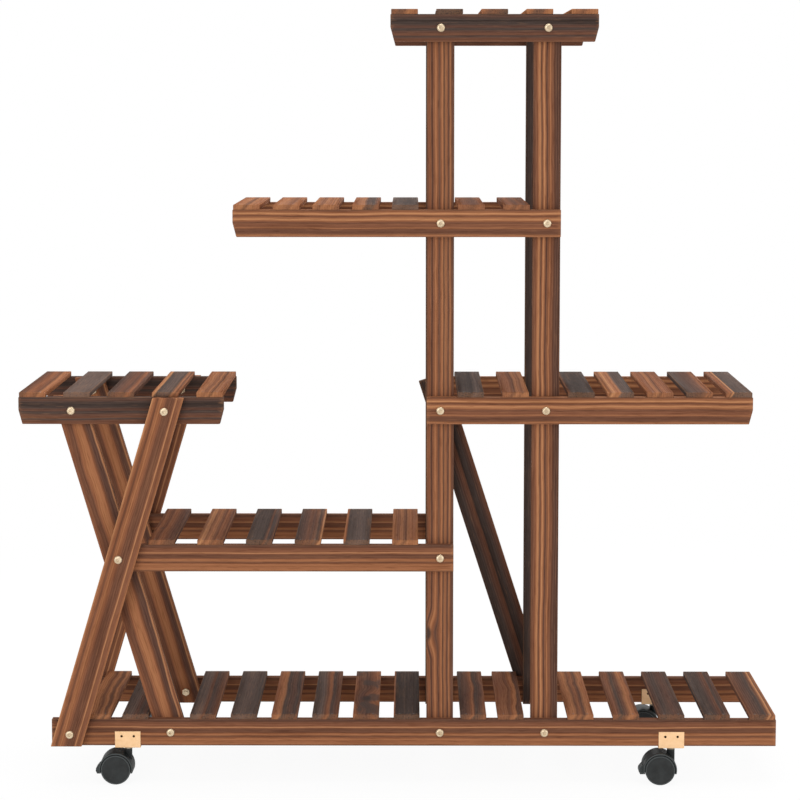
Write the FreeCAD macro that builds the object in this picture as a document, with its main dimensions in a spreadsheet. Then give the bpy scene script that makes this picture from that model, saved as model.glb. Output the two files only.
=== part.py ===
import FreeCAD, Part
import os
import Sketcher

# Flower cart stand: six slatted shelves hung on two pairs of posts and two pairs of crossed
# legs, on four twin-wheel casters. +X is to the right seen from the front, +Y to the back,
# +Z up. The origin is on the floor, under the middle of the stand.

# Driving sizes, in millimetres.
SIZES = {
    # boards
    "overall_length": 1070,
    "shelf_depth": 250,
    "slat_width": 37,
    "slat_thickness": 7,
    "rail_height": 38,
    "rail_thickness": 12,
    "post_width": 38,
    "post_thickness": 12,
    "leg_width": 42,
    "leg_thickness": 12,
    "brace_width": 42,
    "brace_thickness": 12,
    "edge_chamfer": 0.6,
    # heights of the slat tops above the floor
    "top_level": 1093.5,
    "upper_level": 823.2,
    "middle_level": 560.2,
    "low_level": 350.2,
    # lengths of the shelves and places of the posts
    "base_length": 1029.6,
    "short_shelf_length": 288,
    "wide_shelf_length": 457.4,
    "post_inset": 329.2,
    "post_spacing": 148.5,
    "clip_rise": 20,
    "clip_run": 5.3,
    # crossed legs and back brace
    "outer_leg_foot": 27,
    "outer_leg_head": 82.3,
    "inner_leg_foot": 169,
    "inner_leg_head": 73.8,
    "leg_foot_gap": 1.5,
    "low_end_margin": 12,
    "brace_top_margin": 19,
    "brace_foot_margin": 12,
    "brace_offset": 3.6,
    # spaces beside the slats
    "slat_inset": 1,
    "post_gap": 11.8,
    "inner_gap": 5.4,
    "low_slat_start": 41.6,
    "base_end_margin": 47.1,
    "base_inner_gap": 10.2,
    "base_left_gap": 9.6,
    "base_right_gap": 14.1,
    "leg_slat_gap": 1.9,
    "base_leg_gap": 11.3,
    # bolts, nuts and brads
    "bolt_diameter": 6,
    "bolt_clearance": 0.2,
    "bolt_head_diameter": 11.5,
    "bolt_head_height": 3.5,
    "bolt_head_round": 2.6,
    "bolt_tip": 2,
    "bolt_tip_chamfer": 0.8,
    "socket_width": 4,
    "socket_depth": 2,
    "nut_width": 10,
    "nut_height": 5,
    "nut_chamfer": 0.5,
    "fit_clearance": 0.05,
    "brad_diameter": 1.4,
    "brad_head_diameter": 2.4,
    "brad_head_height": 1,
    "brad_length": 19,
    "brad_spacing": 20,
    "pilot_spare": 0.5,
    # caster brackets and their screws
    "left_caster_inset": 108,
    "right_caster_inset": 148.4,
    "caster_height": 50.6,
    "bracket_width": 36.2,
    "bracket_sheet": 1.2,
    "bracket_rise": 23.6,
    "bracket_bend": 1,
    "screw_spacing": 17.4,
    "screw_height": 16.8,
    "screw_diameter": 2,
    "screw_head_diameter": 3.4,
    "screw_head_height": 0.8,
    "screw_tip_gap": 1.4,
    # swivel pins
    "pin_diameter": 6,
    "pin_depth": 24,
    "pin_head_diameter": 9,
    "pin_head_height": 1.9,
    "collar_diameter": 10,
    "collar_height": 2.2,
    "snap_height": 1,
    "snap_depth": 0.4,
    "snap_end": 3,
    "swivel_gap": 0.2,
    # wheels and axles
    "wheel_diameter": 42.4,
    "wheel_width": 13.2,
    "wheel_trail": 16.5,
    "wheel_face": 2.5,
    "wheel_rim": 3,
    "wheel_edge_round": 0.8,
    "wheel_hub_diameter": 11,
    "wheel_side_gap": 0.4,
    "ring_inset": 2,
    "ring_width": 0.6,
    "ring_depth": 0.4,
    "axle_diameter": 5,
    "axle_end_wall": 4.2,
    # hoods
    "web_thickness": 8.4,
    "hood_wall": 2.2,
    "hood_setback": 0.4,
    "hood_round": 1.8,
    "well_clearance": 0.6,
    "skirt_height": 16,
    "housing_diameter": 11,
    # brake levers
    "pedal_width": 16,
    "pedal_clearance": 0.3,
    "pedal_gap": 1.6,
    "pedal_top": 5,
    "pedal_drop": 8,
    "pedal_reach": 6.8,
    "pedal_heel": 2.32,
    "pedal_brow": 0.58,
    "pedal_toe": 2,
    "notch_spare": 0.8,
    "notch_wall": 1.5,
    "tongue_width": 4.4,
    "tongue_clearance": 0.3,
    "tongue_sink": 1.16,
    "tongue_low": 1,
    "tongue_root": 1.68,
    "pivot_back": 17,
    "pivot_rise": 9,
    "barrel_diameter": 4.8,
    "trunnion_diameter": 2.4,
    "trunnion_setback": 0.3,
    "slot_margin": 2.1,
}

# Places that follow from the driving sizes, as formulas of a second sheet.
LAYOUT = {
    # distances of the board centres from the middle plane
    "half_depth": "sizes.shelf_depth / 2",
    "rail_y": "half_depth - sizes.rail_thickness / 2",
    "post_y": "half_depth - sizes.rail_thickness - sizes.post_thickness / 2",
    "inner_leg_y": "half_depth - sizes.rail_thickness - sizes.leg_thickness / 2",
    "outer_leg_y": "half_depth + sizes.leg_thickness / 2",
    "brace_y": "half_depth + sizes.brace_thickness / 2",
    # rail undersides
    "base_z": "sizes.caster_height + sizes.bracket_sheet + sizes.pin_head_height",
    "low_z": "sizes.low_level - sizes.slat_thickness - sizes.rail_height",
    "middle_z": "sizes.middle_level - sizes.slat_thickness - sizes.rail_height",
    "upper_z": "sizes.upper_level - sizes.slat_thickness - sizes.rail_height",
    "top_z": "sizes.top_level - sizes.slat_thickness - sizes.rail_height",
    "base_level": "base_z + sizes.rail_height + sizes.slat_thickness",
    # bolt heights
    "base_bolt_z": "base_z + sizes.rail_height / 2",
    "low_bolt_z": "low_z + sizes.rail_height / 2",
    "middle_bolt_z": "middle_z + sizes.rail_height / 2",
    "upper_bolt_z": "upper_z + sizes.rail_height / 2",
    "top_bolt_z": "top_z + sizes.rail_height / 2",
    # base rail ends, casters and posts
    "base_right": "sizes.overall_length / 2",
    "base_left": "base_right - sizes.base_length",
    "left_caster_x": "base_left + sizes.left_caster_inset",
    "right_caster_x": "base_right - sizes.right_caster_inset",
    "right_post_x": "base_right - sizes.post_inset",
    "left_post_x": "right_post_x - sizes.post_spacing",
    "half_post": "sizes.post_width / 2",
    "left_post_outside": "left_post_x - half_post",
    "left_post_inside": "left_post_x + half_post",
    "right_post_inside": "right_post_x - half_post",
    "right_post_outside": "right_post_x + half_post",
    # rail ends
    "left_left": "-sizes.overall_length / 2",
    "left_right": "left_left + sizes.short_shelf_length",
    "top_left": "(left_post_x + right_post_x - sizes.short_shelf_length) / 2",
    "top_right": "top_left + sizes.short_shelf_length",
    "upper_right": "right_post_outside",
    "upper_left": "upper_right - sizes.wide_shelf_length",
    "right_left": "left_post_outside",
    "right_right": "right_left + sizes.wide_shelf_length",
    "low_right": "left_post_inside",
    # crossed legs: centre lines through the bolts in the base and in the left shelf
    "outer_foot_x": "base_left + sizes.outer_leg_foot",
    "outer_head_x": "left_right - sizes.outer_leg_head",
    "inner_foot_x": "base_left + sizes.inner_leg_foot",
    "inner_head_x": "left_left + sizes.inner_leg_head",
    "outer_slope": "(outer_head_x - outer_foot_x) / (middle_bolt_z - base_bolt_z)",
    "inner_slope": "(inner_head_x - inner_foot_x) / (middle_bolt_z - base_bolt_z)",
    "outer_half": "sizes.leg_width / 2 * sqrt(1 + outer_slope * outer_slope)",
    "inner_half": "sizes.leg_width / 2 * sqrt(1 + inner_slope * inner_slope)",
    "leg_bottom": "base_z + sizes.leg_foot_gap",
    "leg_top": "middle_z + sizes.rail_height",
    "outer_cross_x": "outer_foot_x + outer_slope * (low_bolt_z - base_bolt_z)",
    "inner_cross_x": "inner_foot_x + inner_slope * (low_bolt_z - base_bolt_z)",
    "cross_x": "(outer_cross_x + inner_cross_x) / 2",
    "low_left": "cross_x - sizes.low_end_margin",
    # back brace: unit vector down along it
    "brace_run": "right_post_x - left_post_x",
    "brace_fall": "middle_bolt_z - base_bolt_z",
    "brace_span": "sqrt(brace_run * brace_run + brace_fall * brace_fall)",
    "brace_dx": "brace_run / brace_span",
    "brace_dz": "-brace_fall / brace_span",
    # both ends of each run of slats
    "top_run_start": "top_left + sizes.slat_inset",
    "top_run_end": "top_right - sizes.slat_inset",
    "left_run_start": "left_left + sizes.slat_inset",
    "left_run_end": "left_right - sizes.slat_inset",
    "upper_outer_run_start": "upper_left + sizes.slat_inset",
    "upper_outer_run_end": "left_post_outside - sizes.post_gap",
    "upper_inner_run_start": "left_post_inside + sizes.inner_gap",
    "upper_inner_run_end": "right_post_inside - sizes.inner_gap",
    "right_inner_run_start": "upper_inner_run_start",
    "right_inner_run_end": "upper_inner_run_end",
    "right_outer_run_start": "right_post_outside + sizes.post_gap",
    "right_outer_run_end": "right_right - sizes.slat_inset",
    "low_run_start": "cross_x + sizes.low_slat_start",
    "low_run_end": "left_post_outside - sizes.post_gap",
    "inner_leg_left": "inner_foot_x + inner_slope * (base_level - base_bolt_z) - inner_half",
    "inner_leg_right": "inner_foot_x + inner_slope * sizes.rail_height / 2 + inner_half",
    "base_end_run_start": "base_left + sizes.base_end_margin",
    "base_end_run_end": "inner_leg_left - sizes.leg_slat_gap",
    "base_middle_run_start": "inner_leg_right + sizes.base_leg_gap",
    "base_middle_run_end": "left_post_outside - sizes.base_left_gap",
    "base_inner_run_start": "left_post_inside + sizes.base_inner_gap",
    "base_inner_run_end": "right_post_inside - sizes.base_inner_gap",
    "base_right_run_start": "right_post_outside + sizes.base_right_gap",
    "base_right_run_end": "base_right - sizes.slat_inset",
    # stacks of boards that the bolts clamp, and the faces that their heads rest on
    "post_stack": "sizes.rail_thickness + sizes.post_thickness",
    "leg_stack": "sizes.rail_thickness + sizes.leg_thickness",
    "cross_stack": "sizes.rail_thickness + 2 * sizes.leg_thickness",
    "brace_stack": "sizes.rail_thickness + sizes.post_thickness + sizes.brace_thickness",
    "outer_leg_face": "half_depth + sizes.leg_thickness",
    "brace_face": "half_depth + sizes.brace_thickness",
    # holes
    "bolt_hole": "sizes.bolt_diameter / 2 + sizes.bolt_clearance",
    "brad_hole": "sizes.brad_diameter / 2 + sizes.fit_clearance",
    "pilot_depth": "sizes.brad_length - sizes.slat_thickness + sizes.pilot_spare",
    "screw_hole": "sizes.screw_diameter / 2 + sizes.fit_clearance",
    # casters, measured from the wheel centre
    "wheel_radius": "sizes.wheel_diameter / 2",
    "half_web": "sizes.web_thickness / 2",
    "wheel_inner_y": "half_web + sizes.wheel_side_gap",
    "wheel_outer_y": "wheel_inner_y + sizes.wheel_width",
    "axle_end_y": "wheel_outer_y - sizes.axle_end_wall",
    "hood_width": "2 * (wheel_outer_y - sizes.hood_setback)",
    "well_radius": "wheel_radius + sizes.well_clearance",
    "hood_radius": "well_radius + sizes.hood_wall",
    "skirt_z": "sizes.skirt_height - wheel_radius",
    "housing_top": "sizes.caster_height - sizes.collar_height - sizes.swivel_gap - wheel_radius",
    "pin_bottom": "sizes.caster_height - sizes.collar_height - sizes.pin_depth",
    "pin_hole": "sizes.pin_diameter / 2 + sizes.fit_clearance",
    "axle_hole": "sizes.axle_diameter / 2 + sizes.fit_clearance",
    "snap_radius": "sizes.pin_diameter / 2 + sizes.snap_depth",
    "bead_radius": "sizes.axle_diameter / 2 + sizes.snap_depth",
    "pedal_inner": "wheel_radius + sizes.pedal_gap",
    "pedal_outer": "pedal_inner + sizes.pedal_reach",
    "notch_edge": "wheel_radius - sizes.notch_wall",
    "far_out": "2 * hood_radius",
}

# How closely an edge has to lie at a place to be picked there.
PICK_TOLERANCE = 0.01

doc = FreeCAD.newDocument("flower_cart_stand")
sizes = doc.addObject("Spreadsheet::Sheet", "sizes")
layout = doc.addObject("Spreadsheet::Sheet", "layout")
parts = []


def fill(sheet, entries, as_formula):
    for row, (alias, entry) in enumerate(entries.items(), start=1):
        sheet.set("A%d" % row, alias)
        sheet.set("B%d" % row, ("=%s" if as_formula else "%s") % entry)
        sheet.setAlias("B%d" % row, alias)


fill(sizes, SIZES, as_formula=False)
doc.recompute()
fill(layout, LAYOUT, as_formula=True)
doc.recompute()


def value(expression):
    """The number that an expression of the sheets gives."""
    return float(sizes.evalExpression(expression))


# ---------------------------------------------------------------- sketches and features


def new_body(name, x="0", y="0", z="0"):
    body = doc.addObject("PartDesign::Body", name)
    body.Label = name
    for axis, expression in zip("xyz", (x, y, z)):
        body.setExpression(".Placement.Base." + axis, expression)
    return body


def new_sketch(body, plane, offset="0"):
    """A sketch on one of the body's own planes, moved along the plane's normal."""
    sketch = body.newObject("Sketcher::SketchObject", body.Name + "_sketch")
    role = plane + "_Plane"
    support = [item for item in body.Origin.OriginFeatures if item.Role == role][0]
    sketch.AttachmentSupport = [(support, "")]
    sketch.MapMode = "FlatFace"
    sketch.setExpression(".AttachmentOffset.Base.z", offset)
    return sketch


def pin_point(sketch, geometry, point, across, up):
    """Holds one point of a sketch at a place given by two expressions."""
    for kind, expression in (("DistanceX", across), ("DistanceY", up)):
        constraint = Sketcher.Constraint(kind, -1, 1, geometry, point, value(expression))
        index = sketch.addConstraint(constraint)
        sketch.setExpression("Constraints[%d]" % index, expression)


def draw_polygon(sketch, corners):
    places = [FreeCAD.Vector(value(across), value(up), 0) for across, up in corners]
    first = sketch.GeometryCount
    count = len(corners)
    for i in range(count):
        sketch.addGeometry(Part.LineSegment(places[i], places[(i + 1) % count]), False)
    for i in range(count):
        following = first + (i + 1) % count
        sketch.addConstraint(Sketcher.Constraint("Coincident", first + i, 2, following, 1))
        pin_point(sketch, first + i, 1, *corners[i])


def draw_circle(sketch, across, up, radius):
    centre = FreeCAD.Vector(value(across), value(up), 0)
    circle = Part.Circle(centre, FreeCAD.Vector(0, 0, 1), value(radius))
    geometry = sketch.addGeometry(circle, False)
    pin_point(sketch, geometry, 3, across, up)
    index = sketch.addConstraint(Sketcher.Constraint("Radius", geometry, value(radius)))
    sketch.setExpression("Constraints[%d]" % index, radius)


def draw_box(sketch, low_across, low_up, high_across, high_up):
    corners = [(low_across, low_up), (high_across, low_up)]
    corners += [(high_across, high_up), (low_across, high_up)]
    draw_polygon(sketch, corners)


def draw_hexagon(sketch, across_flats):
    half = across_flats + " / 2"
    reach = across_flats + " / sqrt(3)"
    side = reach + " / 2"
    corners = [("0", reach), (half, side), (half, "-" + side)]
    corners += [("0", "-" + reach), ("-" + half, "-" + side), ("-" + half, side)]
    draw_polygon(sketch, corners)


def pad(body, sketch, length, symmetric=False, downward=False):
    feature = body.newObject("PartDesign::Pad", body.Name + "_pad")
    feature.Profile = sketch
    feature.SideType = "Symmetric" if symmetric else "One side"
    feature.Reversed = downward
    feature.setExpression("Length", length)
    doc.recompute()
    return feature


def pocket(body, sketch, length=None, symmetric=False, along_normal=False):
    """A cut against the sketch's normal, along it, or both ways; with no length, through all."""
    feature = body.newObject("PartDesign::Pocket", body.Name + "_pocket")
    feature.Profile = sketch
    feature.SideType = "Symmetric" if symmetric else "One side"
    feature.Reversed = along_normal
    if length is None:
        feature.Type = "ThroughAll"
    else:
        feature.Type = "Length"
        feature.setExpression("Length", length)
    before = body.Shape.Volume
    doc.recompute()
    if not feature.Shape.Volume < before:
        raise RuntimeError("a cut removes nothing from " + body.Label)
    return feature


def revolve(body, sketch, sketch_axis):
    feature = body.newObject("PartDesign::Revolution", body.Name + "_turning")
    feature.Profile = sketch
    feature.ReferenceAxis = (sketch, [sketch_axis])
    feature.Angle = 360
    doc.recompute()
    return feature


def groove(body, sketch, sketch_axis):
    feature = body.newObject("PartDesign::Groove", body.Name + "_groove")
    feature.Profile = sketch
    feature.ReferenceAxis = (sketch, [sketch_axis])
    feature.Angle = 360
    before = body.Shape.Volume
    doc.recompute()
    if not feature.Shape.Volume < before:
        raise RuntimeError("a groove removes nothing from " + body.Label)
    return feature


def ease_edges(body, feature, kind, size_name, size, wanted=None):
    """Chamfers or rounds the edges of a feature that the test picks, or all of them."""
    names = []
    for number, edge in enumerate(feature.Shape.Edges, start=1):
        if wanted is None or wanted(edge):
            names.append("Edge%d" % number)
    easing = body.newObject("PartDesign::" + kind, body.Name + "_easing")
    easing.Base = (feature, names)
    easing.setExpression(size_name, size)
    doc.recompute()
    return easing


def chamfer(body, feature, size, wanted=None):
    return ease_edges(body, feature, "Chamfer", "Size", size, wanted)


def fillet(body, feature, radius, wanted=None):
    return ease_edges(body, feature, "Fillet", "Radius", radius, wanted)


def at_height(height):
    """Picks the edges that lie wholly at one height of the body's own frame."""
    def test(edge):
        box = edge.BoundBox
        return max(abs(box.ZMin - height), abs(box.ZMax - height)) < PICK_TOLERANCE
    return test


def lies_across(edge):
    """Whether an edge lies wholly at one Y of the body's own frame."""
    return edge.BoundBox.YLength < PICK_TOLERANCE


def keep(feature):
    parts.append(feature)
    return feature


# ---------------------------------------------------------------- shelves

# Each shelf: its name, whether its left and right rail ends are clipped, the places of the
# bolts in its rails, and its runs of slats with the number of slats in each.
SHELVES = [
    ("top", True, True, ["left_post_x", "right_post_x"], [("top_run", 5)]),
    ("upper", True, False, ["left_post_x", "right_post_x"],
     [("upper_outer_run", 5), ("upper_inner_run", 2)]),
    ("right", False, True, ["left_post_x", "right_post_x"],
     [("right_inner_run", 2), ("right_outer_run", 5)]),
    ("left", True, True, ["inner_head_x", "outer_head_x"], [("left_run", 5)]),
    ("low", False, False, ["cross_x", "left_post_x"], [("low_run", 6)]),
    ("base", False, False, ["outer_foot_x", "inner_foot_x", "left_post_x", "right_post_x"],
     [("base_end_run", 2), ("base_middle_run", 6), ("base_inner_run", 2),
      ("base_right_run", 5)]),
]
# The left and right shelves lie at the same height.
HEIGHTS = {"top": "top", "upper": "upper", "right": "middle", "left": "middle",
           "low": "low", "base": "base"}
SIDES = {"front": "-", "back": ""}


def slat_places(runs):
    """The centre of each slat, as an expression; a run's slats are evenly spaced."""
    places = []
    for run, count in runs:
        start = "layout.%s_start + sizes.slat_width / 2" % run
        spread = "(layout.{0}_end - layout.{0}_start - sizes.slat_width)".format(run)
        for number in range(count):
            places.append("%s + %d * %s / %d" % (start, number, spread, count - 1))
    return places


def add_rail(shelf, side, left_clip, right_clip, bolts, runs):
    """One edge-on rail, from its lower left end; bolts go through it, brads in from above."""
    left_end = "layout.%s_left" % shelf
    length = "(layout.{0}_right - layout.{0}_left)".format(shelf)
    body = new_body("%s_rail_%s" % (shelf, side), left_end,
                    SIDES[side] + "layout.rail_y", "layout.%s_z" % HEIGHTS[shelf])
    outline = [("0", "0")]
    if left_clip:
        outline = [("0", "sizes.clip_rise"), ("sizes.clip_run", "0")]
    if right_clip:
        outline += [(length + " - sizes.clip_run", "0"), (length, "sizes.clip_rise")]
    else:
        outline += [(length, "0")]
    outline += [(length, "sizes.rail_height"), ("0", "sizes.rail_height")]
    sketch = new_sketch(body, "XZ")
    draw_polygon(sketch, outline)
    board = pad(body, sketch, "sizes.rail_thickness", symmetric=True)
    chamfer(body, board, "sizes.edge_chamfer")
    holes = new_sketch(body, "XZ")
    for bolt in bolts:
        place = "layout.%s - %s" % (bolt, left_end)
        draw_circle(holes, place, "sizes.rail_height / 2", "layout.bolt_hole")
    pocket(body, holes, symmetric=True)
    pilots = new_sketch(body, "XY", "sizes.rail_height")
    for centre in slat_places(runs):
        for sign in "-+":
            place = "%s %s sizes.brad_spacing / 2 - %s" % (centre, sign, left_end)
            draw_circle(pilots, place, "0", "layout.brad_hole")
    pocket(body, pilots, "layout.pilot_depth")
    if shelf == "base":
        bore_for_brackets(body, left_end)
    return keep(body)


def bore_for_brackets(body, left_end):
    """Holes through a base rail for the screws in the cheeks of its two brackets."""
    screws = new_sketch(body, "XZ")
    height = "sizes.caster_height + sizes.screw_height - layout.base_z"
    for corner in ("left", "right"):
        middle = "layout.%s_caster_x - %s" % (corner, left_end)
        for sign in "-+":
            place = "%s %s sizes.screw_spacing / 2" % (middle, sign)
            draw_circle(screws, place, height, "layout.screw_hole")
    pocket(body, screws, symmetric=True)


def make_slat():
    """One slat, its underside on the local floor, with stepped holes for four brads."""
    body = new_body("slat_pattern")
    sketch = new_sketch(body, "XY")
    draw_box(sketch, "-sizes.slat_width / 2", "-layout.half_depth",
             "sizes.slat_width / 2", "layout.half_depth")
    board = pad(body, sketch, "sizes.slat_thickness")
    chamfer(body, board, "sizes.edge_chamfer")
    holes = new_sketch(body, "XY", "sizes.slat_thickness")
    seats = new_sketch(body, "XY", "sizes.slat_thickness")
    for across in ("-sizes.brad_spacing / 2", "sizes.brad_spacing / 2"):
        for along in ("-layout.rail_y", "layout.rail_y"):
            draw_circle(holes, across, along, "layout.brad_hole")
            draw_circle(seats, across, along,
                        "sizes.brad_head_diameter / 2 + sizes.fit_clearance")
    pocket(body, holes)
    pocket(body, seats, "sizes.brad_head_height")
    return body


def make_brad():
    """One brad, hanging down from the centre of its head's flat top."""
    body = new_body("brad_pattern")
    sketch = new_sketch(body, "XZ")
    head = "sizes.brad_head_diameter / 2"
    shank = "sizes.brad_diameter / 2"
    draw_polygon(sketch, [("0", "0"), (head, "0"), (head, "-sizes.brad_head_height"),
                          (shank, "-sizes.brad_head_height"),
                          (shank, "-sizes.brad_length"), ("0", "-sizes.brad_length")])
    revolve(body, sketch, "V_Axis")
    return body


def add_group(name, shapes, place=FreeCAD.Vector(0, 0, 0)):
    """A node of separate like solids."""
    feature = doc.addObject("Part::Feature", name)
    feature.Label = name
    feature.Shape = Part.makeCompound(shapes)
    feature.Placement = FreeCAD.Placement(place, FreeCAD.Rotation())
    return keep(feature)


def moved(shape, x, y, z, axis=(0, 0, 1), degrees=0):
    copy = shape.copy()
    turn = FreeCAD.Rotation(FreeCAD.Vector(*axis), degrees)
    copy.Placement = FreeCAD.Placement(FreeCAD.Vector(x, y, z), turn)
    return copy


# ---------------------------------------------------------------- posts, legs and brace


def add_post(corner, side, bolts):
    """An upright board from the base rail's underside to the top rail's upper edge."""
    body = new_body("%s_post_%s" % (corner, side), "layout.%s_post_x" % corner,
                    SIDES[side] + "layout.post_y", "layout.base_z")
    sketch = new_sketch(body, "XZ")
    height = "layout.top_z + sizes.rail_height - layout.base_z"
    draw_box(sketch, "-layout.half_post", "0", "layout.half_post", height)
    board = pad(body, sketch, "sizes.post_thickness", symmetric=True)
    chamfer(body, board, "sizes.edge_chamfer")
    holes = new_sketch(body, "XZ")
    for level in bolts:
        place = "layout.%s_bolt_z - layout.base_z" % level
        draw_circle(holes, "0", place, "layout.bolt_hole")
    pocket(body, holes, symmetric=True)
    return keep(body)


def add_leg(kind, side):
    """A slanted leg with level ends, drawn about its foot bolt."""
    body = new_body("%s_leg_%s" % (kind, side), "layout.%s_foot_x" % kind,
                    "%slayout.%s_leg_y" % (SIDES[side], kind), "layout.base_bolt_z")
    sketch = new_sketch(body, "XZ")
    outline = []
    for sign, level in (("-", "bottom"), ("+", "bottom"), ("+", "top"), ("-", "top")):
        height = "(layout.leg_%s - layout.base_bolt_z)" % level
        across = "layout.{0}_slope * {1} {2} layout.{0}_half".format(kind, height, sign)
        outline.append((across, height))
    draw_polygon(sketch, outline)
    board = pad(body, sketch, "sizes.leg_thickness", symmetric=True)
    chamfer(body, board, "sizes.edge_chamfer")
    holes = new_sketch(body, "XZ")
    for end, level in (("foot", "base"), ("cross", "low"), ("head", "middle")):
        bolt_x = "layout.cross_x" if end == "cross" else "layout.%s_%s_x" % (kind, end)
        place = "%s - layout.%s_foot_x" % (bolt_x, kind)
        height = "layout.%s_bolt_z - layout.base_bolt_z" % level
        draw_circle(holes, place, height, "layout.bolt_hole")
    pocket(body, holes, symmetric=True)
    return keep(body)


def add_brace():
    """The square-ended board behind the stand, drawn about its upper bolt."""
    body = new_body("back_brace", "layout.left_post_x", "layout.brace_y",
                    "layout.middle_bolt_z")
    sketch = new_sketch(body, "XZ")
    outline = []
    top = "-sizes.brace_top_margin"
    foot = "(layout.brace_span + sizes.brace_foot_margin)"
    left = "(sizes.brace_offset + sizes.brace_width / 2)"
    right = "(sizes.brace_offset - sizes.brace_width / 2)"
    for along, aside in ((top, left), (foot, left), (foot, right), (top, right)):
        across = "%s * layout.brace_dx + %s * layout.brace_dz" % (along, aside)
        up = "%s * layout.brace_dz - %s * layout.brace_dx" % (along, aside)
        outline.append((across, up))
    draw_polygon(sketch, outline)
    board = pad(body, sketch, "sizes.brace_thickness", symmetric=True)
    chamfer(body, board, "sizes.edge_chamfer")
    holes = new_sketch(body, "XZ")
    draw_circle(holes, "0", "0", "layout.bolt_hole")
    draw_circle(holes, "layout.brace_run", "-layout.brace_fall", "layout.bolt_hole")
    pocket(body, holes, symmetric=True)
    return keep(body)


# ---------------------------------------------------------------- bolts, nuts and screws


def make_bolt(stack):
    """A domed socket bolt, its head on the local floor, its shank down through the stack."""
    body = new_body("%s_bolt_pattern" % stack)
    disc = new_sketch(body, "XY")
    draw_circle(disc, "0", "0", "sizes.bolt_head_diameter / 2")
    head = pad(body, disc, "sizes.bolt_head_height")
    crown = value("sizes.bolt_head_height")
    fillet(body, head, "sizes.bolt_head_round", at_height(crown))
    rod = new_sketch(body, "XY")
    draw_circle(rod, "0", "0", "sizes.bolt_diameter / 2")
    length = "layout.%s_stack + sizes.nut_height + sizes.bolt_tip" % stack
    shank = pad(body, rod, length, downward=True)
    chamfer(body, shank, "sizes.bolt_tip_chamfer", at_height(-value(length)))
    socket = new_sketch(body, "XY", "sizes.bolt_head_height")
    draw_hexagon(socket, "sizes.socket_width")
    pocket(body, socket, "sizes.socket_depth")
    return body


def make_nut():
    """A hexagon nut below its bearing face."""
    body = new_body("nut_pattern")
    sketch = new_sketch(body, "XY")
    draw_hexagon(sketch, "sizes.nut_width")
    block = pad(body, sketch, "sizes.nut_height", downward=True)
    top_edges = at_height(0)
    low_edges = at_height(-value("sizes.nut_height"))
    chamfer(body, block, "sizes.nut_chamfer",
            lambda edge: top_edges(edge) or low_edges(edge))
    hole = new_sketch(body, "XY")
    draw_circle(hole, "0", "0", "sizes.bolt_diameter / 2 + sizes.fit_clearance")
    pocket(body, hole)
    return body


def make_screw():
    """A small pan-head screw, its head on the local floor."""
    body = new_body("screw_pattern")
    sketch = new_sketch(body, "XZ")
    head = "sizes.screw_head_diameter / 2"
    shank = "sizes.screw_diameter / 2"
    tip = "-(sizes.bracket_sheet + sizes.rail_thickness / 2 - sizes.screw_tip_gap)"
    draw_polygon(sketch, [("0", "sizes.screw_head_height"),
                          (shank, "sizes.screw_head_height"),
                          (head, "sizes.screw_head_height / 2"), (head, "0"), (shank, "0"),
                          (shank, tip + " + sizes.screw_diameter"), ("0", tip)])
    revolve(body, sketch, "V_Axis")
    return body


# Each bolted joint: the boards that it clamps, its place, its level and the face under
# the head; the brace takes the place of a plain post joint at the back.
JOINTS = [
    ("post", "left_post_x", "top", "half_depth"),
    ("post", "right_post_x", "top", "half_depth"),
    ("post", "left_post_x", "upper", "half_depth"),
    ("post", "right_post_x", "upper", "half_depth"),
    ("post", "left_post_x", "middle", "half_depth"),
    ("post", "right_post_x", "middle", "half_depth"),
    ("post", "left_post_x", "low", "half_depth"),
    ("post", "left_post_x", "base", "half_depth"),
    ("post", "right_post_x", "base", "half_depth"),
    ("leg", "outer_foot_x", "base", "outer_leg_face"),
    ("leg", "outer_head_x", "middle", "outer_leg_face"),
    ("leg", "inner_foot_x", "base", "half_depth"),
    ("leg", "inner_head_x", "middle", "half_depth"),
    ("cross", "cross_x", "low", "outer_leg_face"),
]
BRACED = {("left_post_x", "middle"), ("right_post_x", "base")}


def add_frame_fasteners():
    stacks = ("post", "leg", "cross", "brace")
    patterns = {stack: make_bolt(stack).Shape for stack in stacks}
    nut = make_nut().Shape
    bolts = []
    nuts = []
    for side in SIDES:
        outward = -1 if side == "front" else 1
        for stack, place, level, face in JOINTS:
            if side == "back" and (place, level) in BRACED:
                stack = "brace"
                face = "brace_face"
            x = value("layout." + place)
            z = value("layout.%s_bolt_z" % level)
            head_y = value("layout." + face)
            nut_y = head_y - value("layout.%s_stack" % stack)
            # quarter turn that points a fastener's own +Z out of the stand
            turn = -90 * outward
            bolts.append(moved(patterns[stack], x, outward * head_y, z, (1, 0, 0), turn))
            nuts.append(moved(nut, x, outward * nut_y, z, (1, 0, 0), turn))
    add_group("frame_bolts", bolts)
    add_group("frame_nuts", nuts)


def add_bracket_screws():
    """Two screws in each cheek of each bracket, towards the rail's middle."""
    pattern = make_screw().Shape
    sheet_face = value("sizes.rail_thickness / 2 + sizes.bracket_sheet")
    height = value("sizes.caster_height + sizes.screw_height")
    screws = []
    for side_y, x, _ in caster_places():
        for offset in (-0.5, 0.5):
            screw_x = x + offset * value("sizes.screw_spacing")
            for outward in (-1, 1):
                y = side_y + outward * sheet_face
                screws.append(moved(pattern, screw_x, y, height, (1, 0, 0), -90 * outward))
    add_group("bracket_screws", screws)


# ---------------------------------------------------------------- casters


def caster_places():
    """Y and X of each swivel axis, and the name of its corner."""
    places = []
    for side in SIDES:
        y = value(SIDES[side] + "layout.rail_y")
        for corner in ("left", "right"):
            x = value("layout.%s_caster_x" % corner)
            places.append((y, x, "%s_%s" % (side, corner)))
    return places


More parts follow.
